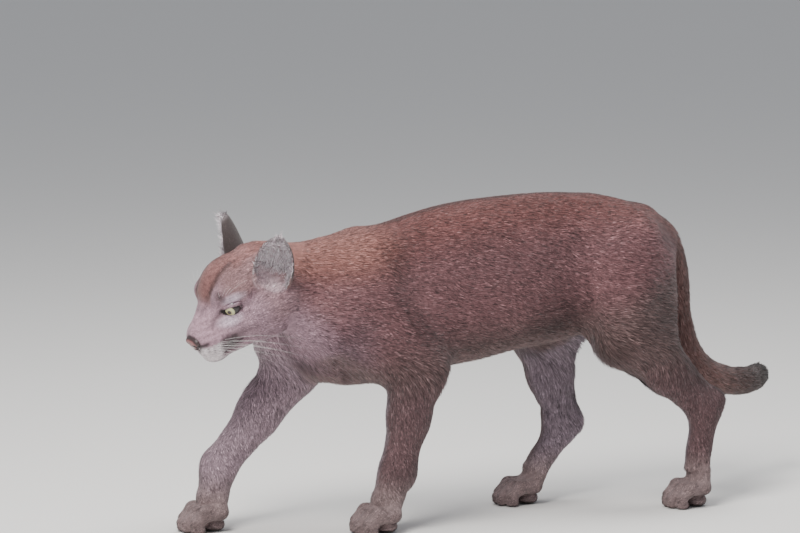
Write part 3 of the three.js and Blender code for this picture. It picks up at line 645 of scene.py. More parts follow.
def open_lids(obj):
    """Lids as a thin dome over each eyeball, with an almond opening."""
    h = head_points(coordinates(obj.data))
    for side in (-1.0, 1.0):
        u, v, w, r, d, a, b = eye_coordinates(h, side)
        in_front = w > 0.0
        snap = (np.abs(r - 1.0) < 0.10) & in_front
        factor = np.where(snap, 1.0 / np.maximum(r, 1e-6), 1.0)
        d = d + a * (u * (factor - 1.0))[:, None] + b * (v * (factor - 1.0))[:, None]
        r = np.where(snap, 1.0, r)
        distance = np.linalg.norm(d, axis=1)
        out = d / np.maximum(distance, 1e-9)[:, None]
        low = EYE_RADIUS + (LID_EDGE + LID_SWELL * smoothstep(1.0, 2.4, r))
        high = low + 0.0065 * np.maximum(r - 1.0, 0.0) ** 1.4
        lid = (r >= 1.0) & (r < 3.2) & in_front
        shaped = blend(distance, np.clip(distance, low, high), smoothstep(3.2, 2.2, r))
        new = np.where(lid, shaped, distance)
        new = np.where((r < 1.0) & in_front, EYE_RADIUS - OPENING_DEPTH, new)
        h = np.where((distance < EYE_RADIUS + 0.022)[:, None], eye_centre(side) + out * new[:, None], h)
    set_coordinates(obj.data, world_points(h))


def soften_lids(obj, turns=8):
    """Averages the skin between the lids and the brow, away from the rim of the opening."""
    mesh = obj.data
    edges = np.empty(len(mesh.edges) * 2, dtype=np.int32)
    mesh.edges.foreach_get("vertices", edges)
    a, b = edges.reshape(-1, 2).T
    points = coordinates(mesh)
    r = eye_reach(head_points(points))
    share = smoothstep(1.25, 1.7, r) * smoothstep(4.6, 3.2, r) * 0.6
    near_eye = (share[a] > 0.0) | (share[b] > 0.0)
    a, b = a[near_eye], b[near_eye]
    count = np.bincount(a, minlength=len(points)) + np.bincount(b, minlength=len(points))
    for _ in range(turns):
        total = np.zeros_like(points)
        np.add.at(total, a, points[b])
        np.add.at(total, b, points[a])
        mean = total / np.maximum(count, 1)[:, None]
        points = points + (mean - points) * (share * (count > 0))[:, None]
    set_coordinates(mesh, points)


open_lids(skin)
soften_lids(skin)
hollow_ears(skin)


# Markings: one function, coat_colour, colours the skin and every tuft
def trunk_level(p):
    """0 at the belly's line and 1 at the back's."""
    along, tops, bottoms = TRUNK
    top, bottom = np.interp(p[:, 0], along, tops), np.interp(p[:, 0], along, bottoms)
    return (p[:, 2] - bottom) / (top - bottom)


def on_tail(p):
    """1 on the tail, and how far along it."""
    distance, along = line_distance(p, TAIL_PATH)
    return smoothstep(0.052, 0.038, distance) * smoothstep(0.545, 0.500, p[:, 2]), along


def inner_side(normals, y):
    """1 where the coat faces the animal's middle."""
    return smoothstep(0.25, -0.45, normals[:, 1] * np.sign(y))


def plain(colour, points):
    """One colour for every point."""
    return colour + 0 * points


def layered(points, ground, layers):
    """Lays colours over a ground, each by its share."""
    colour = plain(ground, points)
    for over, share in layers:
        colour = mix(colour, over, share)
    return colour


def coat_layers(p, normals, level):
    """Colours of the trunk, legs and tail over the belly's."""
    x, y, z = p.T
    yield FLANK, smoothstep(0.02, 0.38, level)
    yield BACK, smoothstep(0.62, 0.99, level) * 0.85
    spine = smoothstep(0.020, 0.006, np.abs(y)) * smoothstep(0.90, 1.0, level)
    yield DORSAL, spine * smoothstep(-0.46, -0.34, x) * 0.7
    yield CHEST, smoothstep(-0.36, -0.46, x) * smoothstep(0.60, 0.15, level) * 0.8
    # Lower legs darker: partly their own coat, partly painted shade
    yield LIMB, smoothstep(0.34, 0.24, z)
    inner = inner_side(normals, y) * smoothstep(0.0, 0.03, np.abs(y))
    yield INNER_LIMB, smoothstep(0.42, 0.32, z) * inner * 0.8
    foreleg = smoothstep(-0.40, -0.47, x) * smoothstep(0.42, 0.34, z)
    yield FORELEG_FRONT, foreleg * smoothstep(-0.02, 0.02, y) * 0.85
    yield BELLY * 1.35, smoothstep(-0.55, -0.95, normals[:, 2]) * smoothstep(0.24, 0.30, z)
    yield PAW, smoothstep(0.13, 0.05, z)
    yield PAD, smoothstep(-0.35, -0.8, normals[:, 2]) * smoothstep(0.020, 0.010, z)
    tail, along = on_tail(p)
    yield mix(plain(TAIL, p), TAIL_TIP, smoothstep(0.50, 0.92, along)), tail


def coat_colour(points, normals):
    p = points - SHIFT
    level = np.clip(trunk_level(p), -1.0, 1.0)
    colour = layered(p, BELLY, coat_layers(p, normals, level))
    patches = 0.07 * wave_noise(points, 0.110, 3) + 0.05 * wave_noise(points, 0.034, 4)
    colour = body_shades(p, level, colour * (1.0 + patches)[:, None])
    h = head_points(points)
    q = mirrored(h)
    face = layered(q, CHEEK, face_layers(h, q))
    colour = mix(colour, face, head_share(q, 0.215, 0.150))
    speckle = 0.15 * wave_noise(points, 0.0085, 5) + 0.13 * wave_noise(points, 0.0048, 6)
    return colour * np.clip(1.0 + speckle, 0.5, 1.6)[:, None]


def body_shades(p, level, colour):
    """Painted light and shade: painted light on the nape, painted shade over the hollows of the muscles
    and in the folds of the skin.
    """
    # Painted light on the top of the neck
    nape = smoothstep(-0.30, -0.42, p[:, 0]) * smoothstep(0.62, 0.92, level)
    colour = mix(colour, LIT_NAPE, nape * 0.9)
    q = mirrored(p)
    # Painted shade over the hollows of the muscles, and in the folds of the skin below
    for centre, radii, share in HOLLOW_SHADES:
        colour = colour * (1.0 - share * near(q, centre, radii))[:, None]
    for path, width, share in FOLD_SHADES:
        distance, along = line_distance(q, path)
        fade = np.sin(math.pi * (0.15 + 0.7 * along))
        colour = colour * (1.0 - share * ridge(distance, width) * fade)[:, None]
    return colour


def nose_reach(q):
    """1 at the edge of the nose leather."""
    return reach(q, (0.009, 0.0, -0.008), (0.0165, 0.0195, 0.0135))


def streak(q, path, width, strength, fall=0.0):
    """The share of a line on the face, which may fade towards its end."""
    distance, along = line_distance(q, path)
    return ridge(distance, width) * (strength - fall * along)


def lip_pad(i, row, side, gap):
    """A place in the rows of whiskers."""
    return 0.017 + 0.0075 * i, side + 0.0026 * i, -0.009 - gap * row - 0.0008 * i


def face_layers(h, q):
    """Colours of the head over the cheek's."""
    x, y, z = q.T
    yield TEMPLE, smoothstep(0.030, 0.055, z) * smoothstep(0.055, 0.100, x)
    yield TEMPLE, smoothstep(0.105, 0.150, x) * smoothstep(-0.045, 0.0, z) * 0.6
    band = smoothstep(1.20, 0.92, y / (0.006 + 0.016 * smoothstep(0.044, 0.062, x)))
    yield FOREHEAD, band * smoothstep(0.028, 0.066, z)
    yield FOREHEAD, smoothstep(0.078, 0.092, z) * smoothstep(0.10, 0.13, x) * 0.9
    yield MUZZLE, smoothstep(0.075, 0.045, x) * smoothstep(-0.014, 0.000, z) * smoothstep(0.058, 0.036, z)
    yield LIP, smoothstep(0.050, 0.034, x) * smoothstep(-0.008, -0.016, z)
    yield LIP * 0.62, smoothstep(0.13, 0.09, x) * smoothstep(-0.046, -0.056, z)
    yield LIP * 0.45, smoothstep(0.16, 0.12, x) * smoothstep(-0.046, -0.066, z)
    # Pale patches above and below the eye, and the dark spot of the brow
    yield PALE, near(q, (0.088, 0.050, 0.0485), (0.026, 0.024, 0.0120)) ** 0.6
    yield PALE, near(q, (0.068, 0.045, 0.0150), (0.030, 0.026, 0.0125)) ** 0.6
    yield DARK * 3.0, near(q, (0.072, 0.038, 0.060), (0.010, 0.018, 0.014)) ** 0.7 * 0.85
    # Painted shade in the crease of the forehead
    yield DARK * 2.0, streak(q, FOREHEAD_LINE, 0.0046, 0.85)
    yield DARK, streak(q, TEAR_LINE, 0.0045, 0.95, 0.65)
    # Painted shade along the fold of the muzzle
    yield DARK * 4.0, streak(q, MUZZLE_FOLD, 0.0060, 0.7, 0.5)
    yield DARK, streak(q, NOSTRIL_LINE, 0.0034, 1.0)
    yield DARK, smoothstep(1.75, 1.30, eye_reach(h))
    # Black patch behind the whisker pad, and the dark rims of the lips and the nose
    yield DARK, near(q, (0.057, 0.042, -0.027), (0.024, 0.030, 0.027)) ** 0.35 * 0.96
    yield DARK * 1.5, streak(q, MOUTH, 0.0030, 0.9)
    yield DARK * 2.0, smoothstep(1.22, 1.05, nose_reach(q)) * 0.8
    # Inside the ears, and the dark notch below each
    depth, r = ear_bowl(q)
    yield EAR_INNER, smoothstep(1.12, 0.92, r) * smoothstep(0.030, 0.020, np.abs(depth))
    yield DARK * 2.0, near(q, (0.187, 0.074, 0.030), (0.014, 0.020, 0.022)) ** 0.6 * 0.9
    # Rows of dark whisker spots
    for row in range(4):
        for i in range(5):
            yield DARK * 3.0, near(q, lip_pad(i, row, 0.036, 0.0055), (0.0026, 0.012, 0.0019)) * 0.9


def coat_flow(points, normals):
    """The way the hair lies, as unit vectors along the surface."""
    p = points - SHIFT
    z = p[:, 2]
    flow = np.tile((1.0, 0.0, -0.28), (len(p), 1))
    flow = mix(flow, np.array((0.25, 0.0, -1.0)), smoothstep(0.37, 0.25, z))
    flow = mix(flow, np.array((-1.0, 0.0, -0.35)), smoothstep(0.060, 0.030, z))
    tail, along = on_tail(p)
    steps = unit(np.diff(TAIL_PATH, axis=0))
    index = np.clip((along * len(steps)).astype(int), 0, len(steps) - 1)
    flow = mix(flow, steps[index], tail)
    h = head_points(points)
    x, y, z = mirrored(h).T
    on_face = np.tile((1.0, 0.0, 0.10), (len(p), 1))
    cheek = smoothstep(0.010, -0.030, z) * smoothstep(0.04, 0.09, x)
    on_face = mix(on_face, np.array((0.9, 0.0, -0.45)), cheek)
    muzzle = smoothstep(0.065, 0.02, x) * smoothstep(0.0, -0.012, z)
    on_face = mix(on_face, np.array((0.7, 0.0, -0.75)), muzzle)
    on_face[:, 1] = np.sign(h[:, 1]) * 0.25 * smoothstep(0.0, 0.03, y)
    flow = mix(flow, on_face @ np.array(HEAD_TURNING).T, head_share(h, 0.22, 0.15))
    flow += 0.16 * np.stack([wave_noise(points, 0.08, seed) for seed in (21, 22, 23)], 1)
    return along_surface(flow, normals)


def along_surface(flow, normals):
    return unit(flow - normals * np.sum(flow * normals, axis=1)[:, None], 1e-6)


def coat_sizes(points, normals):
    """Length, width and lift of the tufts, and how densely they stand."""
    p = points - SHIFT
    x, y, z = p.T
    under = smoothstep(0.22, -0.05, trunk_level(p)) * smoothstep(0.24, 0.28, z)
    length = 0.0130 + 0.008 * under
    lift = 0.16 + 0.10 * under
    length = blend(length, 0.0100, smoothstep(0.30, 0.20, z))
    inner = inner_side(normals, y) * smoothstep(0.12, 0.20, z) * smoothstep(0.38, 0.3, z)
    length += 0.008 * inner * smoothstep(-0.15, -0.05, x)
    paws = smoothstep(0.10, 0.05, z)
    length = blend(length, 0.0060, paws)
    width = 0.00135 * (1.0 - 0.35 * paws)
    tail, along = on_tail(p)
    length = blend(length, 0.0150 + 0.004 * along, tail)
    h = head_points(points)
    on_head = head_share(h, 0.20, 0.12)
    back = smoothstep(0.05, 0.15, h[:, 0])
    length = blend(length, 0.0038 + 0.0050 * back, on_head)
    width = blend(width, 0.00055 + 0.0005 * back, on_head)
    lift = lift * (1.0 - 0.3 * on_head)
    # Bare soles, pads, rims of the eyes and mouth, nose leather and bottoms of the ears
    q = mirrored(h)
    depth, r = ear_bowl(q)
    bare = (z < 0.004) | ((normals[:, 2] < -0.6) & (z < 0.014))
    bare |= (eye_reach(h) < 1.15) | (nose_reach(q) < 1.0) | (line_distance(q, MOUTH)[0] < 0.0016)
    bare |= (r < 0.93) & (depth < 0.012)
    weight = np.where(bare, 0.0, (1.0 + 1.2 * paws) * (1.0 + 5.5 * on_head))
    return length, width, lift, weight


def paint(obj, colours):
    layer = obj.data.color_attributes.new("Coat", "FLOAT_COLOR", "POINT")
    data = np.ones((len(obj.data.vertices), 4), dtype=np.float32)
    data[:, :3] = np.clip(colours, 0.0, 1.0)
    layer.data.foreach_set("color", data.ravel())


def edit_all(obj, operator, **settings):
    """Runs an edit mode operator on the whole of a mesh."""
    only(obj)
    bpy.ops.object.mode_set(mode="EDIT")
    bpy.ops.mesh.select_all(action="SELECT")
    operator(**settings)
    bpy.ops.object.mode_set(mode="OBJECT")


def unwrap(obj):
    edit_all(obj, bpy.ops.uv.smart_project, angle_limit=math.radians(66.0), island_margin=0.0)
    obj.data.uv_layers.active.name = "OFBake"


def triangle_table(mesh, kind):
    out = np.empty(len(mesh.loop_triangles) * 3, dtype=np.int32)
    mesh.loop_triangles.foreach_get(kind, out)
    return out.reshape(-1, 3)


def scatter(obj, count, rng, density):
    """Random roots on a mesh: places, normals, UV, and what blends other values of its corners."""
    mesh = obj.data
    mesh.calc_loop_triangles()
    tri, loops = triangle_table(mesh, "vertices"), triangle_table(mesh, "loops")
    uv = np.empty(len(mesh.loops) * 2)
    mesh.uv_layers.active.data.foreach_get("uv", uv)
    points = coordinates(mesh)
    a, b, c = (points[tri[:, i]] for i in range(3))
    cross = np.cross(b - a, c - a)
    share = np.linalg.norm(cross, axis=1) * density((a + b + c) / 3.0, unit(cross, 1e-12))
    pick = np.searchsorted(np.cumsum(share) / share.sum(), rng.random(count))
    pick = np.minimum(pick, len(tri) - 1)
    s, t = rng.random(count), rng.random(count)
    swap = s + t > 1.0
    s, t = np.where(swap, 1.0 - s, s), np.where(swap, 1.0 - t, t)
    w = np.stack([1.0 - s - t, s, t], 1)

    def blended(values, table=tri):
        return np.einsum("ij,ijk->ik", w, values[table[pick]])

    return blended(points), unit(blended(normals_of(mesh))), blended(uv.reshape(-1, 2), loops), blended


def tuft_piece(name, roots, normals, uv, flow, length, width, lift, colours, rng):
    """Joined blades: a root pair, a middle pair and a tip, three triangles each."""
    n = len(roots)
    side = np.cross(normals, flow)
    lift = lift * rng.uniform(0.6, 1.5, n)
    length = length * rng.uniform(0.7, 1.2, n)
    width = width * rng.uniform(0.75, 1.25, n)
    rise = flow * np.cos(lift)[:, None] + normals * np.sin(lift)[:, None]
    bend = flow * np.cos(lift * 0.3)[:, None] + normals * np.sin(lift * 0.3)[:, None]
    root = roots - normals * ROOT_DEPTH
    mid = root + rise * (length * 0.5)[:, None]
    tip = mid + bend * (length * 0.5)[:, None] + side * (length * rng.normal(0.0, HAIR_LEAN, n))[:, None]
    half = side * (width * 0.5)[:, None]
    verts = np.stack([root - half * 0.8, root + half * 0.8, mid + half, mid - half, tip], 1)
    verts = verts.reshape(-1, 3)
    verts[:, 2] = np.maximum(verts[:, 2], COAT_FLOOR)
    base = np.arange(n)[:, None] * BLADE_CORNERS
    faces = np.concatenate([base + np.array(corners) for corners in BLADE_FACES], 1).ravel()
    count = len(faces) // 3
    mesh = bpy.data.meshes.new(name)
    mesh.vertices.add(len(verts))
    mesh.vertices.foreach_set("co", verts.ravel())
    mesh.loops.add(len(faces))
    mesh.loops.foreach_set("vertex_index", faces.astype(np.int32))
    mesh.polygons.add(count)
    mesh.polygons.foreach_set("loop_start", (np.arange(count) * 3).astype(np.int32))
    mesh.polygons.foreach_set("use_smooth", np.ones(count, dtype=bool))
    layer = mesh.uv_layers.new(name="OFBake")
    spots = (uv[:, None, :] + np.array(BLADE_PATCH)[None, :, :] * BLADE_UV).reshape(-1, 2)
    layer.data.foreach_set("uv", spots[faces].ravel())
    mesh.update(calc_edges=True)
    obj = add_object(name, mesh)
    tone = colours * rng.normal(1.0, TONE_SPREAD, n).clip(0.45, 1.7)[:, None]
    tone = np.where((rng.random(n) < DARK_HAIRS)[:, None], tone * 0.45, tone)
    tone = np.where((rng.random(n) < PALE_HAIRS)[:, None], tone * 1.5 + 0.03, tone)
    # Painted shade at each blade's root and painted light at its tip
    paint(obj, (tone[:, None, :] * np.array(BLADE_SHADE_AND_LIGHT)[None, :, None]).reshape(-1, 3))
    soft = normals + flow * 0.15 + rng.normal(0.0, NORMAL_SPREAD, (n, 3))
    soft /= np.linalg.norm(soft, axis=1)[:, None]
    soft = np.repeat(soft, BLADE_CORNERS, axis=0)
    mesh.normals_split_custom_set_from_vertices(soft.astype(np.float32))
    mesh.materials.append(TUFT_MATERIAL)
    return obj


# Materials
def new_material(name, roughness):
    m = bpy.data.materials.new(name)
    m.use_nodes = True
    shader = m.node_tree.nodes["Principled BSDF"]
    shader.inputs["Roughness"].default_value = roughness
    return m, m.node_tree, shader


def add_node(tree, kind, inputs=None):
    node = tree.nodes.new("ShaderNode" + kind)
    set_inputs(node, inputs or {})
    return node


def set_inputs(node, values):
    for name, value in values.items():
        node.inputs[name].default_value = value


def painted_colour(tree):
    """The output of the colours that paint() gives a mesh."""
    node = add_node(tree, "Attribute")
    node.attribute_name = "Coat"
    return node.outputs["Color"]


def place_on_piece(tree):
    return add_node(tree, "TexCoord").outputs["Object"]


def add_bump(tree, shader, height, strength, distance=0.001):
    bump = add_node(tree, "Bump", {"Strength": strength, "Distance": distance})
    tree.links.new(height, bump.inputs["Height"])
    tree.links.new(bump.outputs["Normal"], shader.inputs["Normal"])


def coat_material(name, roughness, hair_scale=None):
    m, tree, shader = new_material(name, roughness)
    where = place_on_piece(tree)
    speckle = add_node(tree, "TexNoise", {"Scale": 420.0, "Detail": 3.0})
    limits = {"From Min": 0.30, "From Max": 0.70, "To Min": 0.80, "To Max": 1.20}
    ramp = add_node(tree, "MapRange", limits)
    scale = add_node(tree, "VectorMath")
    scale.operation = "SCALE"
    tree.links.new(where, speckle.inputs["Vector"])
    tree.links.new(speckle.outputs["Fac"], ramp.inputs["Value"])
    tree.links.new(painted_colour(tree), scale.inputs[0])
    tree.links.new(ramp.outputs["Result"], scale.inputs["Scale"])
    tree.links.new(scale.outputs["Vector"], shader.inputs["Base Color"])
    if hair_scale:
        stretch = add_node(tree, "Mapping", {"Scale": (0.25, 1.0, 0.6)})
        hair = add_node(tree, "TexNoise", {"Scale": hair_scale, "Detail": 4.0})
        tree.links.new(where, stretch.inputs["Vector"])
        tree.links.new(stretch.outputs["Vector"], hair.inputs["Vector"])
        add_bump(tree, shader, hair.outputs["Fac"], 0.5)
    set_inputs(shader, {"Specular IOR Level": 0.25, "Sheen Weight": 0.12, "Sheen Roughness": 0.5})
    return m


SKIN_MATERIAL = coat_material("skin_coat", 0.85, hair_scale=900.0)
TUFT_MATERIAL = coat_material("tuft_coat", 0.70)

unwrap(skin)
# The skin's colour carries painted shade from deep in the coat
paint(skin, coat_colour(coordinates(skin.data), normals_of(skin.data)) * SKIN_SHADE)
skin.data.materials.clear()
skin.data.materials.append(SKIN_MATERIAL)
shade_smooth(skin)
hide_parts(*FLESH)
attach(skin, "root")


def grow_coat(obj, name, count, seed):
    """Tufts all over a mesh, in pieces from its front to its back."""
    rng = np.random.default_rng(seed)
    roots, normals, uv, _ = scatter(obj, count, rng, lambda p, n: coat_sizes(p, n)[3])
    length, width, lift, _ = coat_sizes(roots, normals)
    flow, colours = coat_flow(roots, normals), coat_colour(roots, normals)
    table = (roots, normals, uv, flow, length, width, lift, colours)
    order = np.argsort(roots[:, 0])
    for i, start in enumerate(range(0, count, TUFTS_IN_A_PIECE)):
        chosen = order[start:start + TUFTS_IN_A_PIECE]
        piece = tuft_piece(f"{name}_{i + 1}", *(column[chosen] for column in table), rng)
        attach(piece, "root")


grow_coat(skin, "coat", TUFTS, SEED)


# Eyes: balls with a painted iris under a wet surface
def make_eye(side, name, node):
    radius = EYE_RADIUS * HEAD_SCALE
    bpy.ops.object.select_all(action="DESELECT")
    bpy.ops.mesh.primitive_uv_sphere_add(segments=64, ring_count=48, radius=radius)
    eye = bpy.context.view_layer.objects.active
    eye.name = name
    points = coordinates(eye.data)
    # The cornea bulges a little round the pole
    polar = np.arccos(np.clip(points[:, 2] / radius, -1.0, 1.0))
    points *= (1.0 + 0.05 * smoothstep(0.75, 0.2, polar))[:, None]
    around = np.arctan2(points[:, 1], points[:, 0])
    rng = np.random.default_rng(11 + int(side))
    streaks = sum(np.sin(around * k + rng.uniform(0, 6.28)) for k in (17, 29, 43)) / 3.0
    colour = plain(IRIS, points) * (1.0 + 0.15 * streaks)[:, None]
    colour = mix(colour, IRIS_MIDDLE, smoothstep(0.36, 0.26, polar) * 0.6)
    colour = mix(colour, DARK, smoothstep(0.225, 0.200, polar))
    colour = mix(colour, DARK, smoothstep(0.56, 0.66, polar))
    gaze = (HEAD_TURNING @ to_side(EYE_GAZE, side).normalized()).normalized()
    turn = Vector((0, 0, 1)).rotation_difference(gaze).to_matrix()
    points = points @ np.array(turn).T + np.array(HEAD @ to_side(EYE, side))
    set_coordinates(eye.data, points)
    paint(eye, colour)
    m, tree, shader = new_material(name + "_wet", 0.25)
    tree.links.new(painted_colour(tree), shader.inputs["Base Color"])
    set_inputs(shader, {"Coat Weight": 0.22, "Coat Roughness": 0.03})
    eye.data.materials.append(m)
    shade_smooth(eye)
    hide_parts(node)
    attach(eye, "root")


make_eye(-1.0, "eyeball_left", "eye_left")
make_eye(1.0, "eyeball_right", "eye_right")


# Nose leather
NOSTRIL_FILLET = 0.0012
nostril = muscle(mm(4.5, 9.8, -9.0), mm(7.0, 3.8, 2.8), (20.0, 0.0, 25.0))
slit = bone(mm(6.0, 12.0, -9.5), 0.0022, mm(16.0, 20.0, -11.0), 0.0014)
groove = bone(mm(1.5, 0, -7), 0.0008, mm(5, 0, -24), 0.0010)
nose_body = join_fields(0.004, [
    bone(mm(12, -10, -6), 0.0085, mm(12, 10, -6), 0.0085),
    bone(mm(14, 0, -10), 0.008, mm(12, 0, -20), 0.004),
    muscle(mm(18, 0, -1), mm(14, 13, 6)),
])


def nose_field(p):
    q = mirrored(p)
    holes = np.minimum(np.minimum(nostril(q), slit(q)), groove(q))
    d, e = nose_body(q), -holes
    h = np.maximum(NOSTRIL_FILLET - np.abs(d - e), 0.0) / NOSTRIL_FILLET
    return np.maximum(d, e) + h * h * NOSTRIL_FILLET * 0.25


def make_nose():
    nose = add_object("nose_leather", bpy.data.objects["nose"].data.copy())
    nose.data.materials.clear()
    apply_modifier(nose, "REMESH", mode="VOXEL", voxel_size=0.0009, use_smooth_shade=True)
    points = coordinates(nose.data)
    h = settle(head_points(points), nose_field, 0.0, np.ones(len(points)))
    set_coordinates(nose.data, world_points(h))
    apply_modifier(nose, "SMOOTH", factor=0.5, iterations=2)
    h = mirrored(h)
    edge = reach(h, (0.006, 0.0, -0.008), (0.018, 0.0185, 0.0115))
    crease = smoothstep(0.0018, 0.0004, h[:, 1]) * smoothstep(0.002, -0.006, h[:, 2])
    paint(nose, layered(h, NOSE_PINK, (
        (DARK * 1.5, smoothstep(0.74, 0.98, edge) * 0.95),
        # Painted shade inside the nostrils and in the groove down the middle of the nose
        (DARK, smoothstep(0.0022, 0.0004, np.minimum(nostril(h), slit(h)))),
        (DARK * 2.0, crease * 0.8),
    )))
    m, tree, shader = new_material("nose_skin", 0.38)
    pebble = add_node(tree, "TexVoronoi", {"Scale": 900.0})
    tree.links.new(place_on_piece(tree), pebble.inputs["Vector"])
    add_bump(tree, shader, pebble.outputs["Distance"], 0.35, 0.0006)
    tree.links.new(painted_colour(tree), shader.inputs["Base Color"])
    nose.data.materials.append(m)
    shade_smooth(nose)
    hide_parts("nose")
    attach(nose, "root")


make_nose()


# Ears: thin cups, as an outer and an inner sheet that are closed along their edges
EAR_COLUMNS = 40
EAR_ROWS = 26


def ear_sheet(side, inner):
    """Places of a sheet, and for each whether it is inner, how near the rim, and how high."""
    base, axis, facing, sideways, height = ear_frame()
    places, marks = [], []
    for j in range(EAR_ROWS + 1):
        v = -0.35 + 1.35 * j / EAR_ROWS
        high = max(0.0, v)
        rounding = math.sqrt(max(0.0, 1.0 - high ** 2.3))
        wall = EAR_WALL * (1.0 - 0.3 * high) if inner else 0.0
        across = EAR_WIDTH * (0.24 + 0.76 * rounding) - (-v * 0.010 if v < 0 else 0.0) - wall
        deep = EAR_DEPTH * (0.5 + 0.5 * rounding) * (1.0 - 0.3 * high) - wall
        for i in range(EAR_COLUMNS + 1):
            a = ((i / EAR_COLUMNS) * 2.0 - 1.0) * (2.0 - 0.55 * high)
            lift = height * v - (EAR_WALL * 0.4 * high if inner else 0.0)
            lift -= 0.009 * (1.0 - math.cos(a)) * high
            p = base + axis * lift + sideways * (math.sin(a) * across) + facing * (-math.cos(a) * deep)
            places.append((HEAD @ to_side(p, side))[:])
            marks.append((inner, max(abs(a) / 2.0, high), v))
    return places, marks


def ear_faces():
    faces = []
    row = EAR_COLUMNS + 1
    layer = row * (EAR_ROWS + 1)
    last = EAR_ROWS * row
    for j in range(EAR_ROWS):
        for o in range(j * row, j * row + EAR_COLUMNS):
            faces.append((o, o + 1, o + row + 1, o + row))
            faces.append((layer + o, layer + o + row, layer + o + row + 1, layer + o + 1))
    for i in range(EAR_COLUMNS):
        faces.append((i, layer + i, layer + i + 1, i + 1))
        faces.append((last + i, last + i + 1, layer + last + i + 1, layer + last + i))
    for o in range(0, last, row):
        faces.append((o, o + row, layer + o + row, layer + o))
        o += EAR_COLUMNS
        faces.append((o, layer + o, layer + o + row, o + row))
    return faces


def make_ear(side, name, node):
    outer_places, outer_marks = ear_sheet(side, 0)
    inner_places, inner_marks = ear_sheet(side, 1)
    mesh = bpy.data.meshes.new(name)
    mesh.from_pydata(outer_places + inner_places, [], ear_faces())
    ear = add_object(name, mesh)
    edit_all(ear, bpy.ops.mesh.normals_make_consistent, inside=False)
    marks = np.array(outer_marks + inner_marks)
    inner, rim, v = marks.T
    paint(ear, layered(marks, EAR_BACK, (
        (EAR_LINING, inner),
        (EAR_RIM, smoothstep(0.86, 1.0, rim) * (0.25 + 0.55 * inner)),
        (EAR_ROOT, smoothstep(0.15, -0.2, v) * (1 - inner)),
        # Painted shade deep in the bottom of the ear's cup
        (DARK * 3, inner * smoothstep(0.30, 0.0, v) * 0.8),
    )))
    ear.data.materials.append(SKIN_MATERIAL)
    unwrap(ear)
    shade_smooth(ear)
    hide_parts(node)
    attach(ear, "root")
    ear_hair(ear, side, marks)


def ear_hair(ear, side, marks):
    """Dark short fur outside, pale long hair inside and along the rim."""
    rng = np.random.default_rng(31 + int(side))
    place, normal, uv, blended = scatter(ear, EAR_HAIRS, rng, lambda p, n: 1.0)
    inner, rim, v = blended(marks).T
    axis, facing = ear_frame()[1:3]
    up, out = (np.array(HEAD_TURNING @ to_side(way, side)) for way in (axis, facing))
    inside = smoothstep(0.4, 0.6, inner)
    flow = along_surface(plain(up, place) + out * (0.9 * inside)[:, None], normal)
    edge = smoothstep(0.85, 1.0, rim)
    length = 0.0045 + 0.0125 * inside * rng.random(EAR_HAIRS) + 0.005 * edge
    width = np.full(EAR_HAIRS, 0.0007)
    lift = 0.16 + 0.45 * inside
    colours = layered(place, EAR_BACK_HAIR, (
        (EAR_INNER_HAIR, inside),
        (EAR_RIM_HAIR, edge * (0.35 + 0.5 * inside)),
        (EAR_ROOT_HAIR, smoothstep(0.20, -0.1, v) * (1.0 - inside)),
    ))
    piece = tuft_piece(ear.name + "_hair", place, normal, uv, flow, length, width, lift, colours, rng)
    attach(piece, "root")


make_ear(-1.0, "ear_cup_left", "ear_left")
make_ear(1.0, "ear_cup_right", "ear_right")


# Whiskers: long tapered hairs from the lip pads and a few over the eyes
WHISKER_SIDES = 5
WHISKER_RADIUS = 0.00020
BROW_HAIR_RADIUS = 0.00016
WHISKER_COLOUR = (0.85, 0.83, 0.82, 1.0)


def hair_mesh(name, paths, radii):
    verts, faces = [], []
    sides = range(WHISKER_SIDES)
    for path, radius in zip(paths, radii):
        start = len(verts)
        last = len(path) - 1
        for k, p in enumerate(path):
            ahead = (path[min(k + 1, last)] - path[max(k - 1, 0)]).normalized()
            u = ahead.orthogonal().normalized()
            v = ahead.cross(u)
            r = radius * (1.0 - 0.88 * (k / last))
            for s in sides:
                angle = 2.0 * math.pi * s / WHISKER_SIDES
                verts.append((p + u * (r * math.cos(angle)) + v * (r * math.sin(angle)))[:])
        for k in range(last):
            ring = start + k * WHISKER_SIDES
            for s in sides:
                a, b = ring + s, ring + (s + 1) % WHISKER_SIDES
                faces.append((a, b, b + WHISKER_SIDES, a + WHISKER_SIDES))
        faces.append(tuple(start + s for s in reversed(sides)))
        faces.append(tuple(start + last * WHISKER_SIDES + s for s in sides))
    mesh = bpy.data.meshes.new(name)
    mesh.from_pydata(verts, [], faces)
    obj = add_object(name, mesh)
    m, tree, shader = new_material("whisker_hair", 0.35)
    set_inputs(shader, {"Base Color": WHISKER_COLOUR})
    grain = add_node(tree, "TexNoise", {"Scale": 300.0})
    tree.links.new(place_on_piece(tree), grain.inputs["Vector"])
    add_bump(tree, shader, grain.outputs["Fac"], 0.1)
    obj.data.materials.append(m)
    shade_smooth(obj)
    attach(obj, "root")


def whisker(rng, surface, side, row, i):
    """The path of one hair, from the lip pad out, back and down."""
    root = lip_pad(i, row, 0.038, 0.0075)
    length = (0.046 + 0.019 * i + 0.012 * (row in (1, 2))) * rng.uniform(0.85, 1.15) * HEAD_SCALE
    out = (0.55 + 0.25 * i / 4.0, 0.80 - 0.25 * i / 4.0, -0.10 - 0.10 * row)
    start = surface.find_nearest(HEAD @ to_side(root, side))[0]
    direction = (HEAD_TURNING @ to_side(out, side).normalized()).normalized()
    drop = Vector((0.25, 0.0, -0.45)) * length
    path = []
    for k in range(9):
        t = k / 8.0
        path.append(start + direction * (length * t) + drop * (t * t * rng.uniform(0.5, 0.55)))
    return path


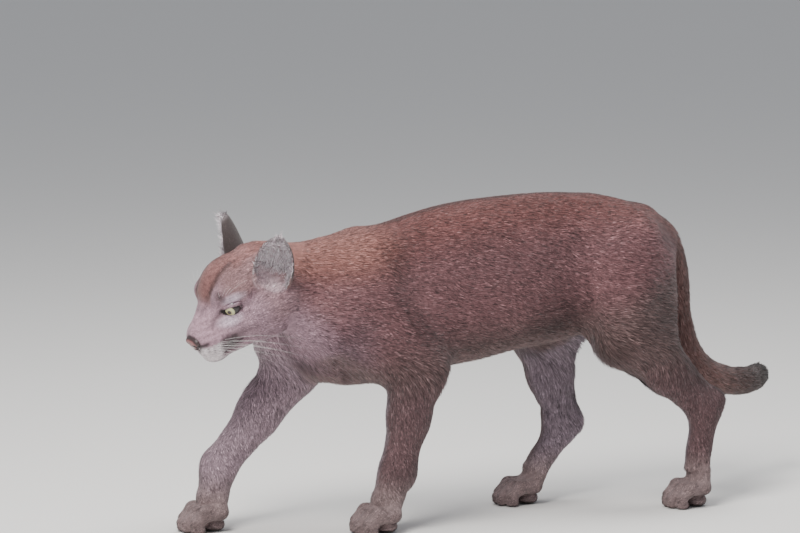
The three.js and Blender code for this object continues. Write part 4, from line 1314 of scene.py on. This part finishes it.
def brow_hair(surface, side, i):
    root = (0.078 + 0.004 * i, 0.028 + 0.003 * i, 0.056)
    start = surface.find_nearest(HEAD @ to_side(root, side))[0]
    direction = HEAD_TURNING @ to_side((-0.25 + 0.35 * i, 0.35 + 0.08 * i, 0.75), side).normalized()
    length = 0.034 + 0.004 * i
    drop = Vector((0.012, 0.0, -0.006))
    return [start + direction * (length * k / 6.0) + drop * (k / 6.0) ** 2 for k in range(7)]


def make_whiskers():
    rng = np.random.default_rng(5)
    paths, radii = [], []
    surface = BVHTree.FromObject(skin, bpy.context.evaluated_depsgraph_get())
    for side in (-1.0, 1.0):
        for row in range(3):
            for i in range(1, 5):
                paths.append(whisker(rng, surface, side, row, i))
                radii.append(WHISKER_RADIUS)
        for i in range(4):
            paths.append(brow_hair(surface, side, i))
            radii.append(BROW_HAIR_RADIUS)
    hair_mesh("whiskers", paths, radii)


make_whiskers()


# Floor, light and camera
def make_stage():
    bpy.ops.object.select_all(action="DESELECT")
    bpy.ops.mesh.primitive_plane_add(size=60.0, location=(0.0, 0.0, 0.0))
    floor = bpy.context.view_layer.objects.active
    floor.name = "floor"
    m, _, shader = new_material("floor_paper", 0.9)
    set_inputs(shader, {"Base Color": (0.80, 0.79, 0.77, 1.0)})
    floor.data.materials.append(m)


def area_light(name, place, target, size, power, colour):
    data = bpy.data.lights.new(name, "AREA")
    data.shape = "DISK"
    data.size = size
    data.energy = power
    data.color = colour
    lamp = add_object(name, data)
    lamp.location = place
    lamp.rotation_euler = (Vector(target) - Vector(place)).to_track_quat("-Z", "Y").to_euler()


def make_light():
    world = bpy.context.scene.world or bpy.data.worlds.new("studio")
    bpy.context.scene.world = world
    world.use_nodes = True
    background = world.node_tree.nodes["Background"]
    set_inputs(background, {"Color": (0.90, 0.93, 1.0, 1.0), "Strength": 0.45})
    area_light("key", (-2.2, -1.7, 3.4), (-0.2, 0.0, 0.35), 1.8, 190.0, (1.0, 0.97, 0.93))
    area_light("top", (0.3, 0.2, 3.6), (0.0, 0.0, 0.4), 2.6, 110.0, (1.0, 0.99, 0.97))


def make_camera():
    level = Vector((math.sin(CAMERA_AZIMUTH), -math.cos(CAMERA_AZIMUTH), 0.0))
    back = level * math.cos(CAMERA_ELEVATION)
    back.z = math.sin(CAMERA_ELEVATION)
    right = Vector((math.cos(CAMERA_AZIMUTH), math.sin(CAMERA_AZIMUTH), 0.0))
    data = bpy.data.cameras.new("camera")
    data.sensor_width = SENSOR
    data.lens = SENSOR * (CAMERA_DISTANCE / PIXEL) / PICTURE[0]
    camera = add_object("camera", data)
    camera.location = CAMERA_AIM + back * CAMERA_DISTANCE
    camera.rotation_euler = Matrix((right, back.cross(right), back)).transposed().to_euler()
    scene = bpy.context.scene
    scene.camera = camera
    scene.render.resolution_x, scene.render.resolution_y = PICTURE


make_stage()
make_light()
make_camera()
